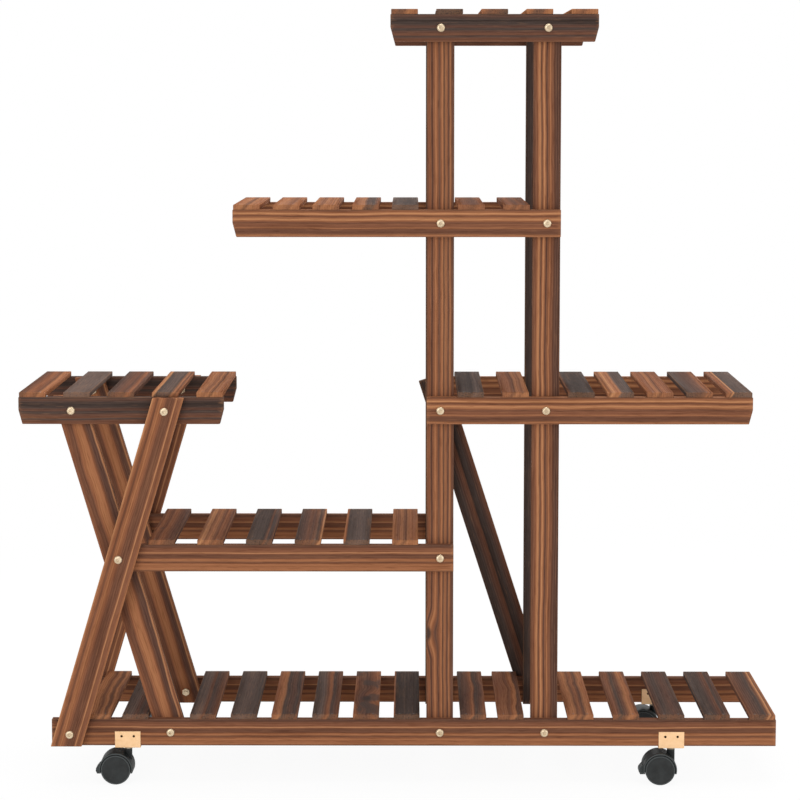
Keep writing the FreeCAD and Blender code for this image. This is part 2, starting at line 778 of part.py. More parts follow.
def make_bracket():
    """A sheet saddle about the base rail, drawn about the swivel axis."""
    body = new_body("bracket_pattern")
    sketch = new_sketch(body, "YZ")
    inside = "sizes.rail_thickness / 2"
    outside = "(sizes.rail_thickness / 2 + sizes.bracket_sheet)"
    low = "sizes.caster_height"
    floor = "sizes.caster_height + sizes.bracket_sheet"
    high = "sizes.caster_height + sizes.bracket_rise"
    draw_polygon(sketch, [("-" + outside, low), (outside, low), (outside, high),
                          (inside, high), (inside, floor), ("-" + inside, floor),
                          ("-" + inside, high), ("-" + outside, high)])
    saddle = pad(body, sketch, "sizes.bracket_width", symmetric=True)
    half = value(outside)
    bottom = at_height(value(low))
    fillet(body, saddle, "sizes.bracket_bend",
           lambda edge: bottom(edge)
           and abs(abs(edge.CenterOfMass.y) - half) < PICK_TOLERANCE)
    pin_hole = new_sketch(body, "XY", "sizes.caster_height + 2 * sizes.bracket_sheet")
    draw_circle(pin_hole, "0", "0", "layout.pin_hole")
    pocket(body, pin_hole)
    screws = new_sketch(body, "XZ")
    for place in ("-sizes.screw_spacing / 2", "sizes.screw_spacing / 2"):
        draw_circle(screws, place, low + " + sizes.screw_height", "layout.screw_hole")
    pocket(body, screws, symmetric=True)
    return body


def make_pin():
    """The riveted swivel pin: head under the rail, collar under the sheet, snap ring."""
    body = new_body("pin_pattern")
    sketch = new_sketch(body, "XZ")
    shaft = "sizes.pin_diameter / 2"
    head = "sizes.pin_head_diameter / 2"
    collar = "sizes.collar_diameter / 2"
    sheet_top = "sizes.caster_height + sizes.bracket_sheet"
    head_top = sheet_top + " + sizes.pin_head_height"
    collar_low = "sizes.caster_height - sizes.collar_height"
    ring_low = "layout.pin_bottom + sizes.snap_end"
    ring_high = ring_low + " + sizes.snap_height"
    ring = "layout.snap_radius"
    draw_polygon(sketch, [("0", head_top), (head, head_top), (head, sheet_top),
                          (shaft, sheet_top), (shaft, "sizes.caster_height"),
                          (collar, "sizes.caster_height"), (collar, collar_low),
                          (shaft, collar_low), (shaft, ring_high), (ring, ring_high),
                          (ring, ring_low), (shaft, ring_low),
                          (shaft, "layout.pin_bottom"), ("0", "layout.pin_bottom")])
    revolve(body, sketch, "V_Axis")
    return body


def make_axle():
    """The fixed axle, with a snap ring near each end."""
    body = new_body("axle_pattern")
    sketch = new_sketch(body, "YZ")
    end = "layout.axle_end_y"
    rod = "sizes.axle_diameter / 2"
    ring = "layout.bead_radius"
    ring_out = "(layout.axle_end_y - sizes.snap_height)"
    ring_in = "(layout.axle_end_y - 2 * sizes.snap_height)"
    draw_polygon(sketch, [("-" + end, "0"), (end, "0"), (end, rod), (ring_out, rod),
                          (ring_out, ring), (ring_in, ring), (ring_in, rod),
                          ("-" + ring_in, rod), ("-" + ring_in, ring),
                          ("-" + ring_out, ring), ("-" + ring_out, rod), ("-" + end, rod)])
    revolve(body, sketch, "H_Axis")
    return body


def make_wheel():
    """A cupped wheel on the +Y side: closed face outside, hub and rim towards the web."""
    body = new_body("wheel_pattern")
    sketch = new_sketch(body, "YZ")
    rim = "layout.wheel_radius"
    rim_inside = "(layout.wheel_radius - sizes.wheel_rim)"
    hub = "sizes.wheel_hub_diameter / 2"
    bore = "layout.axle_hole"
    inner = "layout.wheel_inner_y"
    outer = "layout.wheel_outer_y"
    back = "(layout.wheel_outer_y - sizes.wheel_face)"
    blind = "(layout.axle_end_y + sizes.fit_clearance)"
    ring_out = "(layout.wheel_outer_y - sizes.ring_depth)"
    ring_high = "(layout.wheel_radius - sizes.ring_inset)"
    ring_low = "(layout.wheel_radius - sizes.ring_inset - sizes.ring_width)"
    draw_polygon(sketch, [(inner, bore), (inner, hub), (back, hub), (back, rim_inside),
                          (inner, rim_inside), (inner, rim), (outer, rim),
                          (outer, ring_high), (ring_out, ring_high), (ring_out, ring_low),
                          (outer, ring_low), (outer, "0"), (blind, "0"), (blind, bore)])
    turned = revolve(body, sketch, "H_Axis")
    radius = value(rim) - PICK_TOLERANCE
    fillet(body, turned, "sizes.wheel_edge_round",
           lambda edge: lies_across(edge) and edge.BoundBox.ZMax > radius)
    relief = new_sketch(body, "YZ")
    snap_out = "layout.axle_end_y - sizes.snap_height + sizes.fit_clearance"
    snap_in = "layout.axle_end_y - 2 * sizes.snap_height - sizes.fit_clearance"
    draw_box(relief, snap_in, "0", snap_out, "layout.bead_radius + sizes.fit_clearance")
    groove(body, relief, "H_Axis")
    return body


def make_hood():
    """The caster's body about the wheel centre: hood, web between the wheels and housing."""
    body = new_body("hood_pattern")
    dome = new_sketch(body, "XZ")
    draw_circle(dome, "0", "0", "layout.hood_radius")
    drum = pad(body, dome, "layout.hood_width", symmetric=True)
    fillet(body, drum, "sizes.hood_round", lies_across)
    housing = new_sketch(body, "XY")
    draw_circle(housing, "sizes.wheel_trail", "0", "sizes.housing_diameter / 2")
    pad(body, housing, "layout.housing_top")
    # the XZ plane's normal points to the front
    for offset, along_normal in (("layout.half_web", True), ("-layout.half_web", False)):
        well = new_sketch(body, "XZ", offset)
        draw_circle(well, "0", "0", "layout.well_radius")
        pocket(body, well, along_normal=along_normal)
    below = new_sketch(body, "XZ")
    draw_box(below, "-layout.far_out", "-layout.far_out", "layout.far_out", "layout.skirt_z")
    pocket(body, below, symmetric=True)
    notch = new_sketch(body, "XZ")
    draw_box(notch, "-layout.far_out", "-layout.far_out", "-layout.notch_edge",
             "sizes.pedal_top + sizes.notch_spare")
    pocket(body, notch, "sizes.pedal_width + 2 * sizes.pedal_clearance", symmetric=True)
    slot = new_sketch(body, "XZ")
    reach = "sizes.barrel_diameter / 2 + sizes.slot_margin"
    draw_box(slot, "-layout.far_out", "-layout.far_out",
             "-sizes.pivot_back + " + reach, "sizes.pivot_rise + " + reach)
    pocket(body, slot, "sizes.tongue_width + 2 * sizes.tongue_clearance", symmetric=True)
    bores = new_sketch(body, "XZ")
    draw_circle(bores, "0", "0", "layout.axle_hole")
    draw_circle(bores, "-sizes.pivot_back", "sizes.pivot_rise",
                "sizes.trunnion_diameter / 2 + sizes.fit_clearance")
    pocket(body, bores, "sizes.web_thickness + sizes.wheel_side_gap", symmetric=True)
    socket = new_sketch(body, "XY", "layout.housing_top")
    draw_circle(socket, "sizes.wheel_trail", "0", "layout.pin_hole")
    depth = "layout.housing_top + layout.wheel_radius - layout.pin_bottom"
    pocket(body, socket, depth + " + sizes.swivel_gap")
    ring = new_sketch(body, "XY", "layout.pin_bottom + sizes.snap_end - layout.wheel_radius"
                                  " - sizes.fit_clearance")
    draw_circle(ring, "sizes.wheel_trail", "0", "layout.snap_radius + sizes.fit_clearance")
    pocket(body, ring, "sizes.snap_height + 2 * sizes.fit_clearance", along_normal=True)
    return body


def make_brake():
    """The brake lever about the wheel centre: pedal, tongue, barrel and trunnions."""
    body = new_body("brake_pattern")
    pedal = new_sketch(body, "XZ")
    near = "-layout.pedal_inner"
    far = "-layout.pedal_outer"
    heel = "(-layout.pedal_inner - sizes.pedal_heel)"
    toe = "(-layout.pedal_outer + sizes.pedal_toe)"
    brow = "(-layout.pedal_outer + sizes.pedal_brow)"
    draw_polygon(pedal, [(near, "sizes.pedal_top"), (heel, "sizes.pedal_top"),
                         (brow, "0"), (far, "-sizes.pedal_drop / 2"),
                         (toe, "-sizes.pedal_drop"), (near, "-sizes.pedal_drop")])
    pad(body, pedal, "sizes.pedal_width", symmetric=True)
    tongue = new_sketch(body, "XZ")
    high = "(sizes.pivot_rise + sizes.barrel_diameter / 2)"
    deep = "(-layout.pedal_inner - sizes.tongue_sink)"
    draw_polygon(tongue, [("-sizes.pivot_back", high), (deep, "sizes.pedal_top"),
                          (deep, "-sizes.tongue_low"),
                          ("-sizes.pivot_back + sizes.tongue_root",
                           "sizes.pivot_rise - sizes.tongue_root")])
    pad(body, tongue, "sizes.tongue_width", symmetric=True)
    barrel = new_sketch(body, "XZ")
    draw_circle(barrel, "-sizes.pivot_back", "sizes.pivot_rise", "sizes.barrel_diameter / 2")
    pad(body, barrel, "sizes.tongue_width", symmetric=True)
    trunnions = new_sketch(body, "XZ")
    draw_circle(trunnions, "-sizes.pivot_back", "sizes.pivot_rise",
                "sizes.trunnion_diameter / 2")
    pad(body, trunnions, "sizes.web_thickness - 2 * sizes.trunnion_setback", symmetric=True)
    return body


def add_caster_piece(name, pattern, x, y, z=0.0, degrees=0):
    """A copy of a caster piece at one corner of the stand."""
    feature = doc.addObject("Part::Feature", name)
    feature.Label = name
    feature.Shape = pattern.Shape.copy()
    turn = FreeCAD.Rotation(FreeCAD.Vector(0, 0, 1), degrees)
    feature.Placement = FreeCAD.Placement(FreeCAD.Vector(x, y, z), turn)
    return keep(feature)


def add_casters():
    bracket = make_bracket()
    pin = make_pin()
    hood = make_hood()
    axle = make_axle()
    wheel = make_wheel()
    brake = make_brake()
    trail = value("sizes.wheel_trail")
    radius = value("layout.wheel_radius")
    for y, x, corner in caster_places():
        add_caster_piece("caster_bracket_" + corner, bracket, x, y)
        add_caster_piece("caster_pin_" + corner, pin, x, y)
        add_caster_piece("caster_hood_" + corner, hood, x - trail, y, radius)
        add_caster_piece("caster_axle_" + corner, axle, x - trail, y, radius)
        add_caster_piece("caster_brake_" + corner, brake, x - trail, y, radius)
        outer_turn, inner_turn = (180, 0) if y < 0 else (0, 180)
        add_caster_piece("caster_wheel_outer_" + corner, wheel, x - trail, y, radius,
                         outer_turn)
        add_caster_piece("caster_wheel_inner_" + corner, wheel, x - trail, y, radius,
                         inner_turn)


# ---------------------------------------------------------------- the stand


def add_shelves():
    slat = make_slat().Shape
    brad = make_brad().Shape
    brad_y = value("layout.rail_y")
    half_step = value("sizes.brad_spacing") / 2
    brads = []
    for shelf, left_clip, right_clip, bolts, runs in SHELVES:
        for side in SIDES:
            add_rail(shelf, side, left_clip, right_clip, bolts, runs)
        left_end = value("layout.%s_left" % shelf)
        underside = value("layout.%s_z + sizes.rail_height" % HEIGHTS[shelf])
        centres = [value(place) for place in slat_places(runs)]
        slats = [moved(slat, centre - left_end, 0, 0) for centre in centres]
        add_group(shelf + "_slats", slats, FreeCAD.Vector(left_end, 0, underside))
        top = underside + value("sizes.slat_thickness")
        for centre in centres:
            for x in (centre - half_step, centre + half_step):
                for y in (-brad_y, brad_y):
                    brads.append(moved(brad, x, y, top))
    add_group("slat_brads", brads)


def add_frame():
    shared_levels = ["top", "upper", "middle", "base"]
    for side in SIDES:
        add_post("left", side, shared_levels + ["low"])
        add_post("right", side, shared_levels)
        add_leg("outer", side)
        add_leg("inner", side)
    add_brace()


def check_document():
    for item in doc.Objects:
        if "Invalid" in item.State or "Error" in item.State:
            raise RuntimeError("%s could not be built: %s" % (item.Label, item.State))
    for part in parts:
        if part.Shape.isNull() or not part.Shape.isValid():
            raise RuntimeError(part.Label + " has no valid shape")


def export_parts():
    os.makedirs("parts", exist_ok=True)
    for part in parts:
        part.Shape.exportStep("parts/%s.step" % part.Label)
    print("%d nodes written" % len(parts))


add_shelves()
add_frame()
add_frame_fasteners()
add_casters()
add_bracket_screws()
doc.recompute()
check_document()
export_parts()
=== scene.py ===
import math

import bmesh
import bpy
import numpy as np
from mathutils import Matrix, Vector


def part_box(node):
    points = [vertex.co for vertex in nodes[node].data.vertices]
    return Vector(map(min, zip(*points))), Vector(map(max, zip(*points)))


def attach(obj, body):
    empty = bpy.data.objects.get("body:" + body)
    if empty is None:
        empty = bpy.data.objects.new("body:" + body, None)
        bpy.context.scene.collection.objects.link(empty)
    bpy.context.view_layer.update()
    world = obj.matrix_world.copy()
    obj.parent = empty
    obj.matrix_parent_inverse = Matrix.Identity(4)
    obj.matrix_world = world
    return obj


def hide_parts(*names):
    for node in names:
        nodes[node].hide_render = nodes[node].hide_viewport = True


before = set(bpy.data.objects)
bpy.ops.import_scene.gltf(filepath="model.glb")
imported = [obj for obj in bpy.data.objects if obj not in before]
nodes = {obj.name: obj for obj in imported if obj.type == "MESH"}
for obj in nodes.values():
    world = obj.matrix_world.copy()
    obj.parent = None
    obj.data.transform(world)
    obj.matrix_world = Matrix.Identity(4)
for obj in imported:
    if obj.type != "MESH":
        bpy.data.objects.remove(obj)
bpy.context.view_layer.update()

# The wheeled plant stand: six slatted shelves of scorched fir on posts and crossed legs.
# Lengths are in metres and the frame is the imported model's: +X right, +Y back, +Z up.

SHELVES = ("top", "upper", "right", "left", "low", "base")
SIDES = ("front", "back")
CORNERS = ("front_left", "front_right", "back_left", "back_right")


# ------------------------------------------------------------ camera and light

CAMERA_PLACE = (0.0149, -3.309, 0.9679)
CAMERA_LENS = 103.0        # millimetres
SENSOR_WIDTH = 36.0        # millimetres
CAMERA_DOWN = 5.483        # degrees below level
CAMERA_TURN = 0.254        # degrees towards -X
CAMERA_SHIFT = -0.10       # shares of the picture's width, below the camera's axis

LAMP_TARGET = (0.0, 0.0, 0.55)
# Each lamp's place, the side of its square in metres and its power in watts.
LAMPS = {
    "key_lamp": ((-1.9, -3.9, 1.5), 2.4, 58.0),
    "fill_lamp": ((2.8, -2.6, 1.1), 2.4, 23.0),
    "top_lamp": ((0.2, 0.3, 3.4), 2.6, 73.0),
    "back_lamp": ((0.6, 3.4, 1.9), 2.4, 30.0),
    "left_lamp": ((-3.6, 0.4, 1.2), 2.0, 12.0),
    "right_lamp": ((3.6, 0.4, 1.2), 2.0, 14.0),
}


def make_camera():
    data = bpy.data.cameras.new("camera")
    data.lens = CAMERA_LENS
    data.sensor_width = SENSOR_WIDTH
    data.shift_y = CAMERA_SHIFT
    camera = bpy.data.objects.new("camera", data)
    camera.location = CAMERA_PLACE
    camera.rotation_euler = (math.radians(90.0 - CAMERA_DOWN), 0.0, math.radians(CAMERA_TURN))
    bpy.context.scene.collection.objects.link(camera)
    bpy.context.scene.camera = camera


def make_lamps():
    """Square lamps that all aim at the middle of the stand."""
    for name, (place, side, power) in LAMPS.items():
        data = bpy.data.lights.new(name, "AREA")
        data.shape = "SQUARE"
        data.size = side
        data.energy = power
        lamp = bpy.data.objects.new(name, data)
        lamp.location = place
        aim = Vector(LAMP_TARGET) - Vector(place)
        lamp.rotation_euler = aim.to_track_quat("-Z", "Y").to_euler()
        bpy.context.scene.collection.objects.link(lamp)


# ------------------------------------------------------------ node graphs


class Graph:
    """A node tree that is written as arithmetic on fields."""

    def __init__(self, tree):
        self.tree = tree

    def node(self, kind, **settings):
        made = self.tree.nodes.new(kind)
        for name, setting in settings.items():
            setattr(made, name, setting)
        return made

    def feed(self, socket, source):
        if isinstance(source, Field):
            self.tree.links.new(source.socket, socket)
        else:
            socket.default_value = source

    def vector(self, x, y, z):
        made = self.node("ShaderNodeCombineXYZ")
        for socket, source in zip(made.inputs, (x, y, z)):
            self.feed(socket, source)
        return Field(self, made.outputs[0])

    def split(self, vector):
        made = self.node("ShaderNodeSeparateXYZ")
        self.feed(made.inputs[0], vector)
        return [Field(self, output) for output in made.outputs]

    def noise(self, vector, detail=2.0):
        """Noise from 0 to 1 that changes over about one unit of the vector."""
        made = self.node("ShaderNodeTexNoise")
        self.feed(made.inputs["Vector"], vector)
        made.inputs["Scale"].default_value = 1.0
        made.inputs["Detail"].default_value = detail
        return Field(self, made.outputs["Fac"])

    def random(self, number):
        """A random number from 0 to 1 that always goes with the given number."""
        made = self.node("ShaderNodeTexWhiteNoise", noise_dimensions="1D")
        self.feed(made.inputs["W"], number)
        return Field(self, made.outputs["Value"])

    def mix(self, share, first, second, blend="MIX"):
        """Mixes two colours."""
        made = self.node("ShaderNodeMix", data_type="RGBA", blend_type=blend)
        self.feed(made.inputs[0], share)
        self.feed(made.inputs[6], first)
        self.feed(made.inputs[7], second)
        return Field(self, made.outputs[2])

    def bump(self, height, distance, strength=1.0):
        made = self.node("ShaderNodeBump")
        made.inputs["Strength"].default_value = strength
        made.inputs["Distance"].default_value = distance
        self.feed(made.inputs["Height"], height)
        return Field(self, made.outputs[0])


class Field:
    """A value that varies over a surface. Arithmetic on it adds nodes to its graph."""

    def __init__(self, graph, socket):
        self.graph = graph
        self.socket = socket

    def math(self, operation, *others):
        made = self.graph.node("ShaderNodeMath", operation=operation)
        for socket, source in zip(made.inputs, (self, *others)):
            self.graph.feed(socket, source)
        return Field(self.graph, made.outputs[0])

    def __add__(self, other):
        return self.math("ADD", other)

    def __sub__(self, other):
        return self.math("SUBTRACT", other)

    def __mul__(self, other):
        return self.math("MULTIPLY", other)

    def __truediv__(self, other):
        return self.math("DIVIDE", other)

    def hypot(self, other):
        """The length of two fields that stand at right angles."""
        return (self * self + other * other).math("SQRT")

    def rise(self, low, high):
        """A smooth step from 0 at low to 1 at high; low may be above high."""
        made = self.graph.node("ShaderNodeMapRange", interpolation_type="SMOOTHSTEP")
        for name, source in (("Value", self), ("From Min", low), ("From Max", high)):
            self.graph.feed(made.inputs[name], source)
        return Field(self.graph, made.outputs[0])


def new_material(name):
    material = bpy.data.materials.new(name)
    material.use_nodes = True
    tree = material.node_tree
    tree.nodes.clear()
    graph = Graph(tree)
    output = graph.node("ShaderNodeOutputMaterial")
    shader = graph.node("ShaderNodeBsdfPrincipled")
    tree.links.new(shader.outputs[0], output.inputs["Surface"])
    return material, graph, shader


def linear(code):
    """The linear colour of a six-digit sRGB code."""
    channels = []
    for start in (0, 2, 4):
        level = int(code[start:start + 2], 16) / 255.0
        curved = ((level + 0.055) / 1.055) ** 2.4
        channels.append(level / 12.92 if level <= 0.04045 else curved)
    return (*channels, 1.0)


# ------------------------------------------------------------ floor and background

WHITE = (1.0, 1.0, 1.0, 1.0)
BACKGROUND = 1.0
SKY_LIGHT = 0.62
FLOOR_RADIUS = 9.0
FLOOR_SIDES = 96
FLOOR_DROP = 0.0002       # from the wheels down to the floor
FLOOR_PAINT = (0.94, 0.94, 0.94, 1.0)
FLOOR_GLOW = 0.93         # plain background's share in the floor near the stand
FADE_START = 0.75         # from the floor's middle to where that share starts to grow
FADE_END = 1.9            # from the floor's middle to where only background is left


def make_world():
    """White wherever a camera or a reflection sees it, and a plain level of light elsewhere."""
    world = bpy.data.worlds.new("studio")
    bpy.context.scene.world = world
    world.use_nodes = True
    graph = Graph(world.node_tree)
    world.node_tree.nodes.clear()
    output = graph.node("ShaderNodeOutputWorld")
    sky = graph.node("ShaderNodeBackground")
    sky.inputs["Strength"].default_value = SKY_LIGHT
    white = graph.node("ShaderNodeBackground")
    white.inputs["Strength"].default_value = BACKGROUND
    choice = graph.node("ShaderNodeMixShader")
    graph.feed(choice.inputs[0], seen_directly(graph))
    graph.tree.links.new(sky.outputs[0], choice.inputs[1])
    graph.tree.links.new(white.outputs[0], choice.inputs[2])
    graph.tree.links.new(choice.outputs[0], output.inputs["Surface"])
    for background in (sky, white):
        background.inputs["Color"].default_value = WHITE


def seen_directly(graph):
    """1 for camera, mirror and glass rays."""
    path = graph.node("ShaderNodeLightPath")
    camera = Field(graph, path.outputs["Is Camera Ray"])
    glossy = Field(graph, path.outputs["Is Glossy Ray"])
    glass = Field(graph, path.outputs["Is Transmission Ray"])
    return camera.math("MAXIMUM", glossy).math("MAXIMUM", glass)


def make_floor():
    """A pale disc that fades into the white background and keeps the stand's shadow."""
    mesh = bpy.data.meshes.new("floor")
    sketch = bmesh.new()
    bmesh.ops.create_circle(sketch, cap_ends=True, segments=FLOOR_SIDES, radius=FLOOR_RADIUS)
    sketch.to_mesh(mesh)
    sketch.free()
    floor = bpy.data.objects.new("floor", mesh)
    floor.location.z = -FLOOR_DROP
    bpy.context.scene.collection.objects.link(floor)

    material = bpy.data.materials.new("floor_paint")
    material.use_nodes = True
    graph = Graph(material.node_tree)
    graph.tree.nodes.clear()
    place = Field(graph, graph.node("ShaderNodeTexCoord").outputs["Object"])
    length = graph.node("ShaderNodeVectorMath", operation="LENGTH")
    graph.feed(length.inputs[0], place)
    far = Field(graph, length.outputs["Value"]).rise(FADE_START, FADE_END)
    paint = graph.node("ShaderNodeBsdfDiffuse")
    paint.inputs["Color"].default_value = FLOOR_PAINT
    glow = graph.node("ShaderNodeEmission")
    glow.inputs["Strength"].default_value = BACKGROUND
    choice = graph.node("ShaderNodeMixShader")
    plain = far * (1.0 - FLOOR_GLOW) + FLOOR_GLOW
    graph.feed(choice.inputs[0], seen_directly(graph) * plain)
    graph.tree.links.new(paint.outputs[0], choice.inputs[1])
    graph.tree.links.new(glow.outputs[0], choice.inputs[2])
    output = graph.node("ShaderNodeOutputMaterial")
    graph.tree.links.new(choice.outputs[0], output.inputs["Surface"])
    mesh.materials.append(material)


# ------------------------------------------------------------ wood

# Tones of scorched fir: its browns from light to dark, then its greys from light to dark.
TONES = {
    "straw": "b47f58",
    "honey": "9d6948",
    "amber": "8c5a3f",
    "chestnut": "7b503b",
    "umber": "694636",
    "dusk": "5a4036",
    "ash": "5f4f48",
    "char": "4a3e39",
    "soot": "3c322e",
}
SOOTY = (0.50, 0.44, 0.42, 1.0)    # what a dark line lets through of a tone
PALE_SHARE = 0.45                  # of the straw tone in a light line
WOOD_GLOSS = 0.016
WOOD_ROUGHNESS = 0.66
RELIEF_DEPTH = 0.0004
RELIEF_STRENGTH = 0.6

# How fast each noise changes along the grain and across it, in changes per metre.
BEND = (4.5, 9.0)
RIPPLE = (17.0, 30.0)
PATCHES = (13.0, 30.0)
CLOUDS = (5.0, 60.0)
STREAKS = (12.0, 520.0)
DASHES = (38.0, 640.0)
FIBRES = (60.0, 1600.0)
RIPPLE_APART = 40.0 / 17.0    # metres along the grain from the bend's noise to the ripple's
BEND_SHARE = 3.0              # the bend's size beside the ripple's
FIBRE_CONTRAST = 0.30

STRIPE_LEAN = 0.7             # how far a stripe steps aside for its depth in the board
KNOT_STRETCH = 2.2            # a knot's length over its width
KNOT_CORE = 0.3               # the share of a knot's size within which it is darkest
KNOT_REACH = (3.0, 0.5)       # where grain starts to bend and bends most, in knot sizes

PITH_ACROSS = 0.12            # from the board's middle to the middle of its rings
PITH_DEEP = 0.01
RING_CHANGES = 90.0           # changes of the rings' spacing in a metre of radius
RING_STRAY = 2.4              # how many rings they stray by
RING_NUMBERS_APART = 13.0     # from one board's ring numbers to those of the next seed

# How deep wear starts and is full, in metres, and how ragged it is.
ARRIS_WEAR = (0.0012, 0.0003)
ARRIS_RAGGED = 0.002
END_WEAR = (0.0040, 0.0005)
END_RAGGED = 0.030

COURSE_INPUTS = (
    ("Place", "NodeSocketVector"),
    ("Seed", "NodeSocketFloat"),
    ("Wander", "NodeSocketFloat"),
    ("Half Width", "NodeSocketFloat"),
    ("Half Thickness", "NodeSocketFloat"),
    ("Knot Along", "NodeSocketFloat"),
    ("Knot Across", "NodeSocketFloat"),
    ("Knot Size", "NodeSocketFloat"),
)
COURSE_OUTPUTS = (
    ("Stripe", "NodeSocketFloat"),
    ("Across", "NodeSocketFloat"),
    ("Deep", "NodeSocketFloat"),
    ("Knot", "NodeSocketFloat"),
)
FIGURE_INPUTS = (
    ("Tone", "NodeSocketColor"),
    ("Place", "NodeSocketVector"),
    ("Across", "NodeSocketFloat"),
    ("Deep", "NodeSocketFloat"),
    ("Knot", "NodeSocketFloat"),
    ("Seed", "NodeSocketFloat"),
    ("Ring", "NodeSocketFloat"),
    ("Lines", "NodeSocketFloat"),
    ("Scorch", "NodeSocketFloat"),
    ("Half Length", "NodeSocketFloat"),
    ("Half Width", "NodeSocketFloat"),
    ("Half Thickness", "NodeSocketFloat"),
)
FIGURE_OUTPUTS = (
    ("Color", "NodeSocketColor"),
    ("Relief", "NodeSocketFloat"),
    ("Roughness", "NodeSocketFloat"),
)


def new_group(name, inputs, outputs):
    """A shared node group, with its inputs as fields and the node that takes its outputs."""
    tree = bpy.data.node_groups.new(name, "ShaderNodeTree")
    for entry, kind in inputs:
        tree.interface.new_socket(entry, in_out="INPUT", socket_type=kind)
    for entry, kind in outputs:
        tree.interface.new_socket(entry, in_out="OUTPUT", socket_type=kind)
    graph = Graph(tree)
    entrance = graph.node("NodeGroupInput")
    given = {entry: Field(graph, entrance.outputs[entry]) for entry, _ in inputs}
    return tree, graph, given, graph.node("NodeGroupOutput")


def grain_noise(graph, place, changes, detail=2.0):
    """Noise drawn out along the grain, at a place given as along, across and deep."""
    along, across, deep = place
    lengthways, sideways = changes
    stretched = graph.vector(along * lengthways, across * sideways, deep * sideways)
    return graph.noise(stretched, detail)


def depth_within(coordinate, half_size):
    """How far a place lies inside the board's two faces at plus and minus half_size."""
    return coordinate.math("ABSOLUTE") * -1.0 + half_size


def make_course():
    """How the grain runs: x along it, y across the board, z through it from the front.

    The front is the board's shown face, and the place is measured from the board's middle.

    Stripe runs from 0 to 1 over the board's width and back again beyond it. It leans
    inwards, so that the edges and ends of a board carry on the stripes of its face.
    """
    tree, graph, given, leaving = new_group("grain_course", COURSE_INPUTS, COURSE_OUTPUTS)
    x, y, z = graph.split(given["Place"])
    along = x + given["Seed"]
    bend = grain_noise(graph, (along, y, z), BEND, detail=1.0)
    ripple = grain_noise(graph, (along + RIPPLE_APART, y, z), RIPPLE)
    shift = (bend - 0.5) * given["Wander"] * BEND_SHARE + (ripple - 0.5) * given["Wander"]

    # the knot pushes the grain aside
    size = given["Knot Size"]
    knot_x = (x - given["Knot Along"]) / KNOT_STRETCH
    knot_y = y - given["Knot Across"]
    knot_far = knot_x.hypot(knot_y)
    knot = knot_far.rise(size, size * KNOT_CORE)
    bends_from, bends_most = KNOT_REACH
    near_knot = knot_far.rise(size * bends_from, size * bends_most)
    across = y + shift + near_knot * size

    inwards = z + given["Half Thickness"]
    leaning = across + inwards * STRIPE_LEAN
    share = (leaning + given["Half Width"]) / (given["Half Width"] * 2.0)
    graph.feed(leaving.inputs["Stripe"], share.math("PINGPONG", 1.0))
    graph.feed(leaving.inputs["Across"], across)
    graph.feed(leaving.inputs["Deep"], z + shift * 0.5)
    graph.feed(leaving.inputs["Knot"], knot)
    return tree


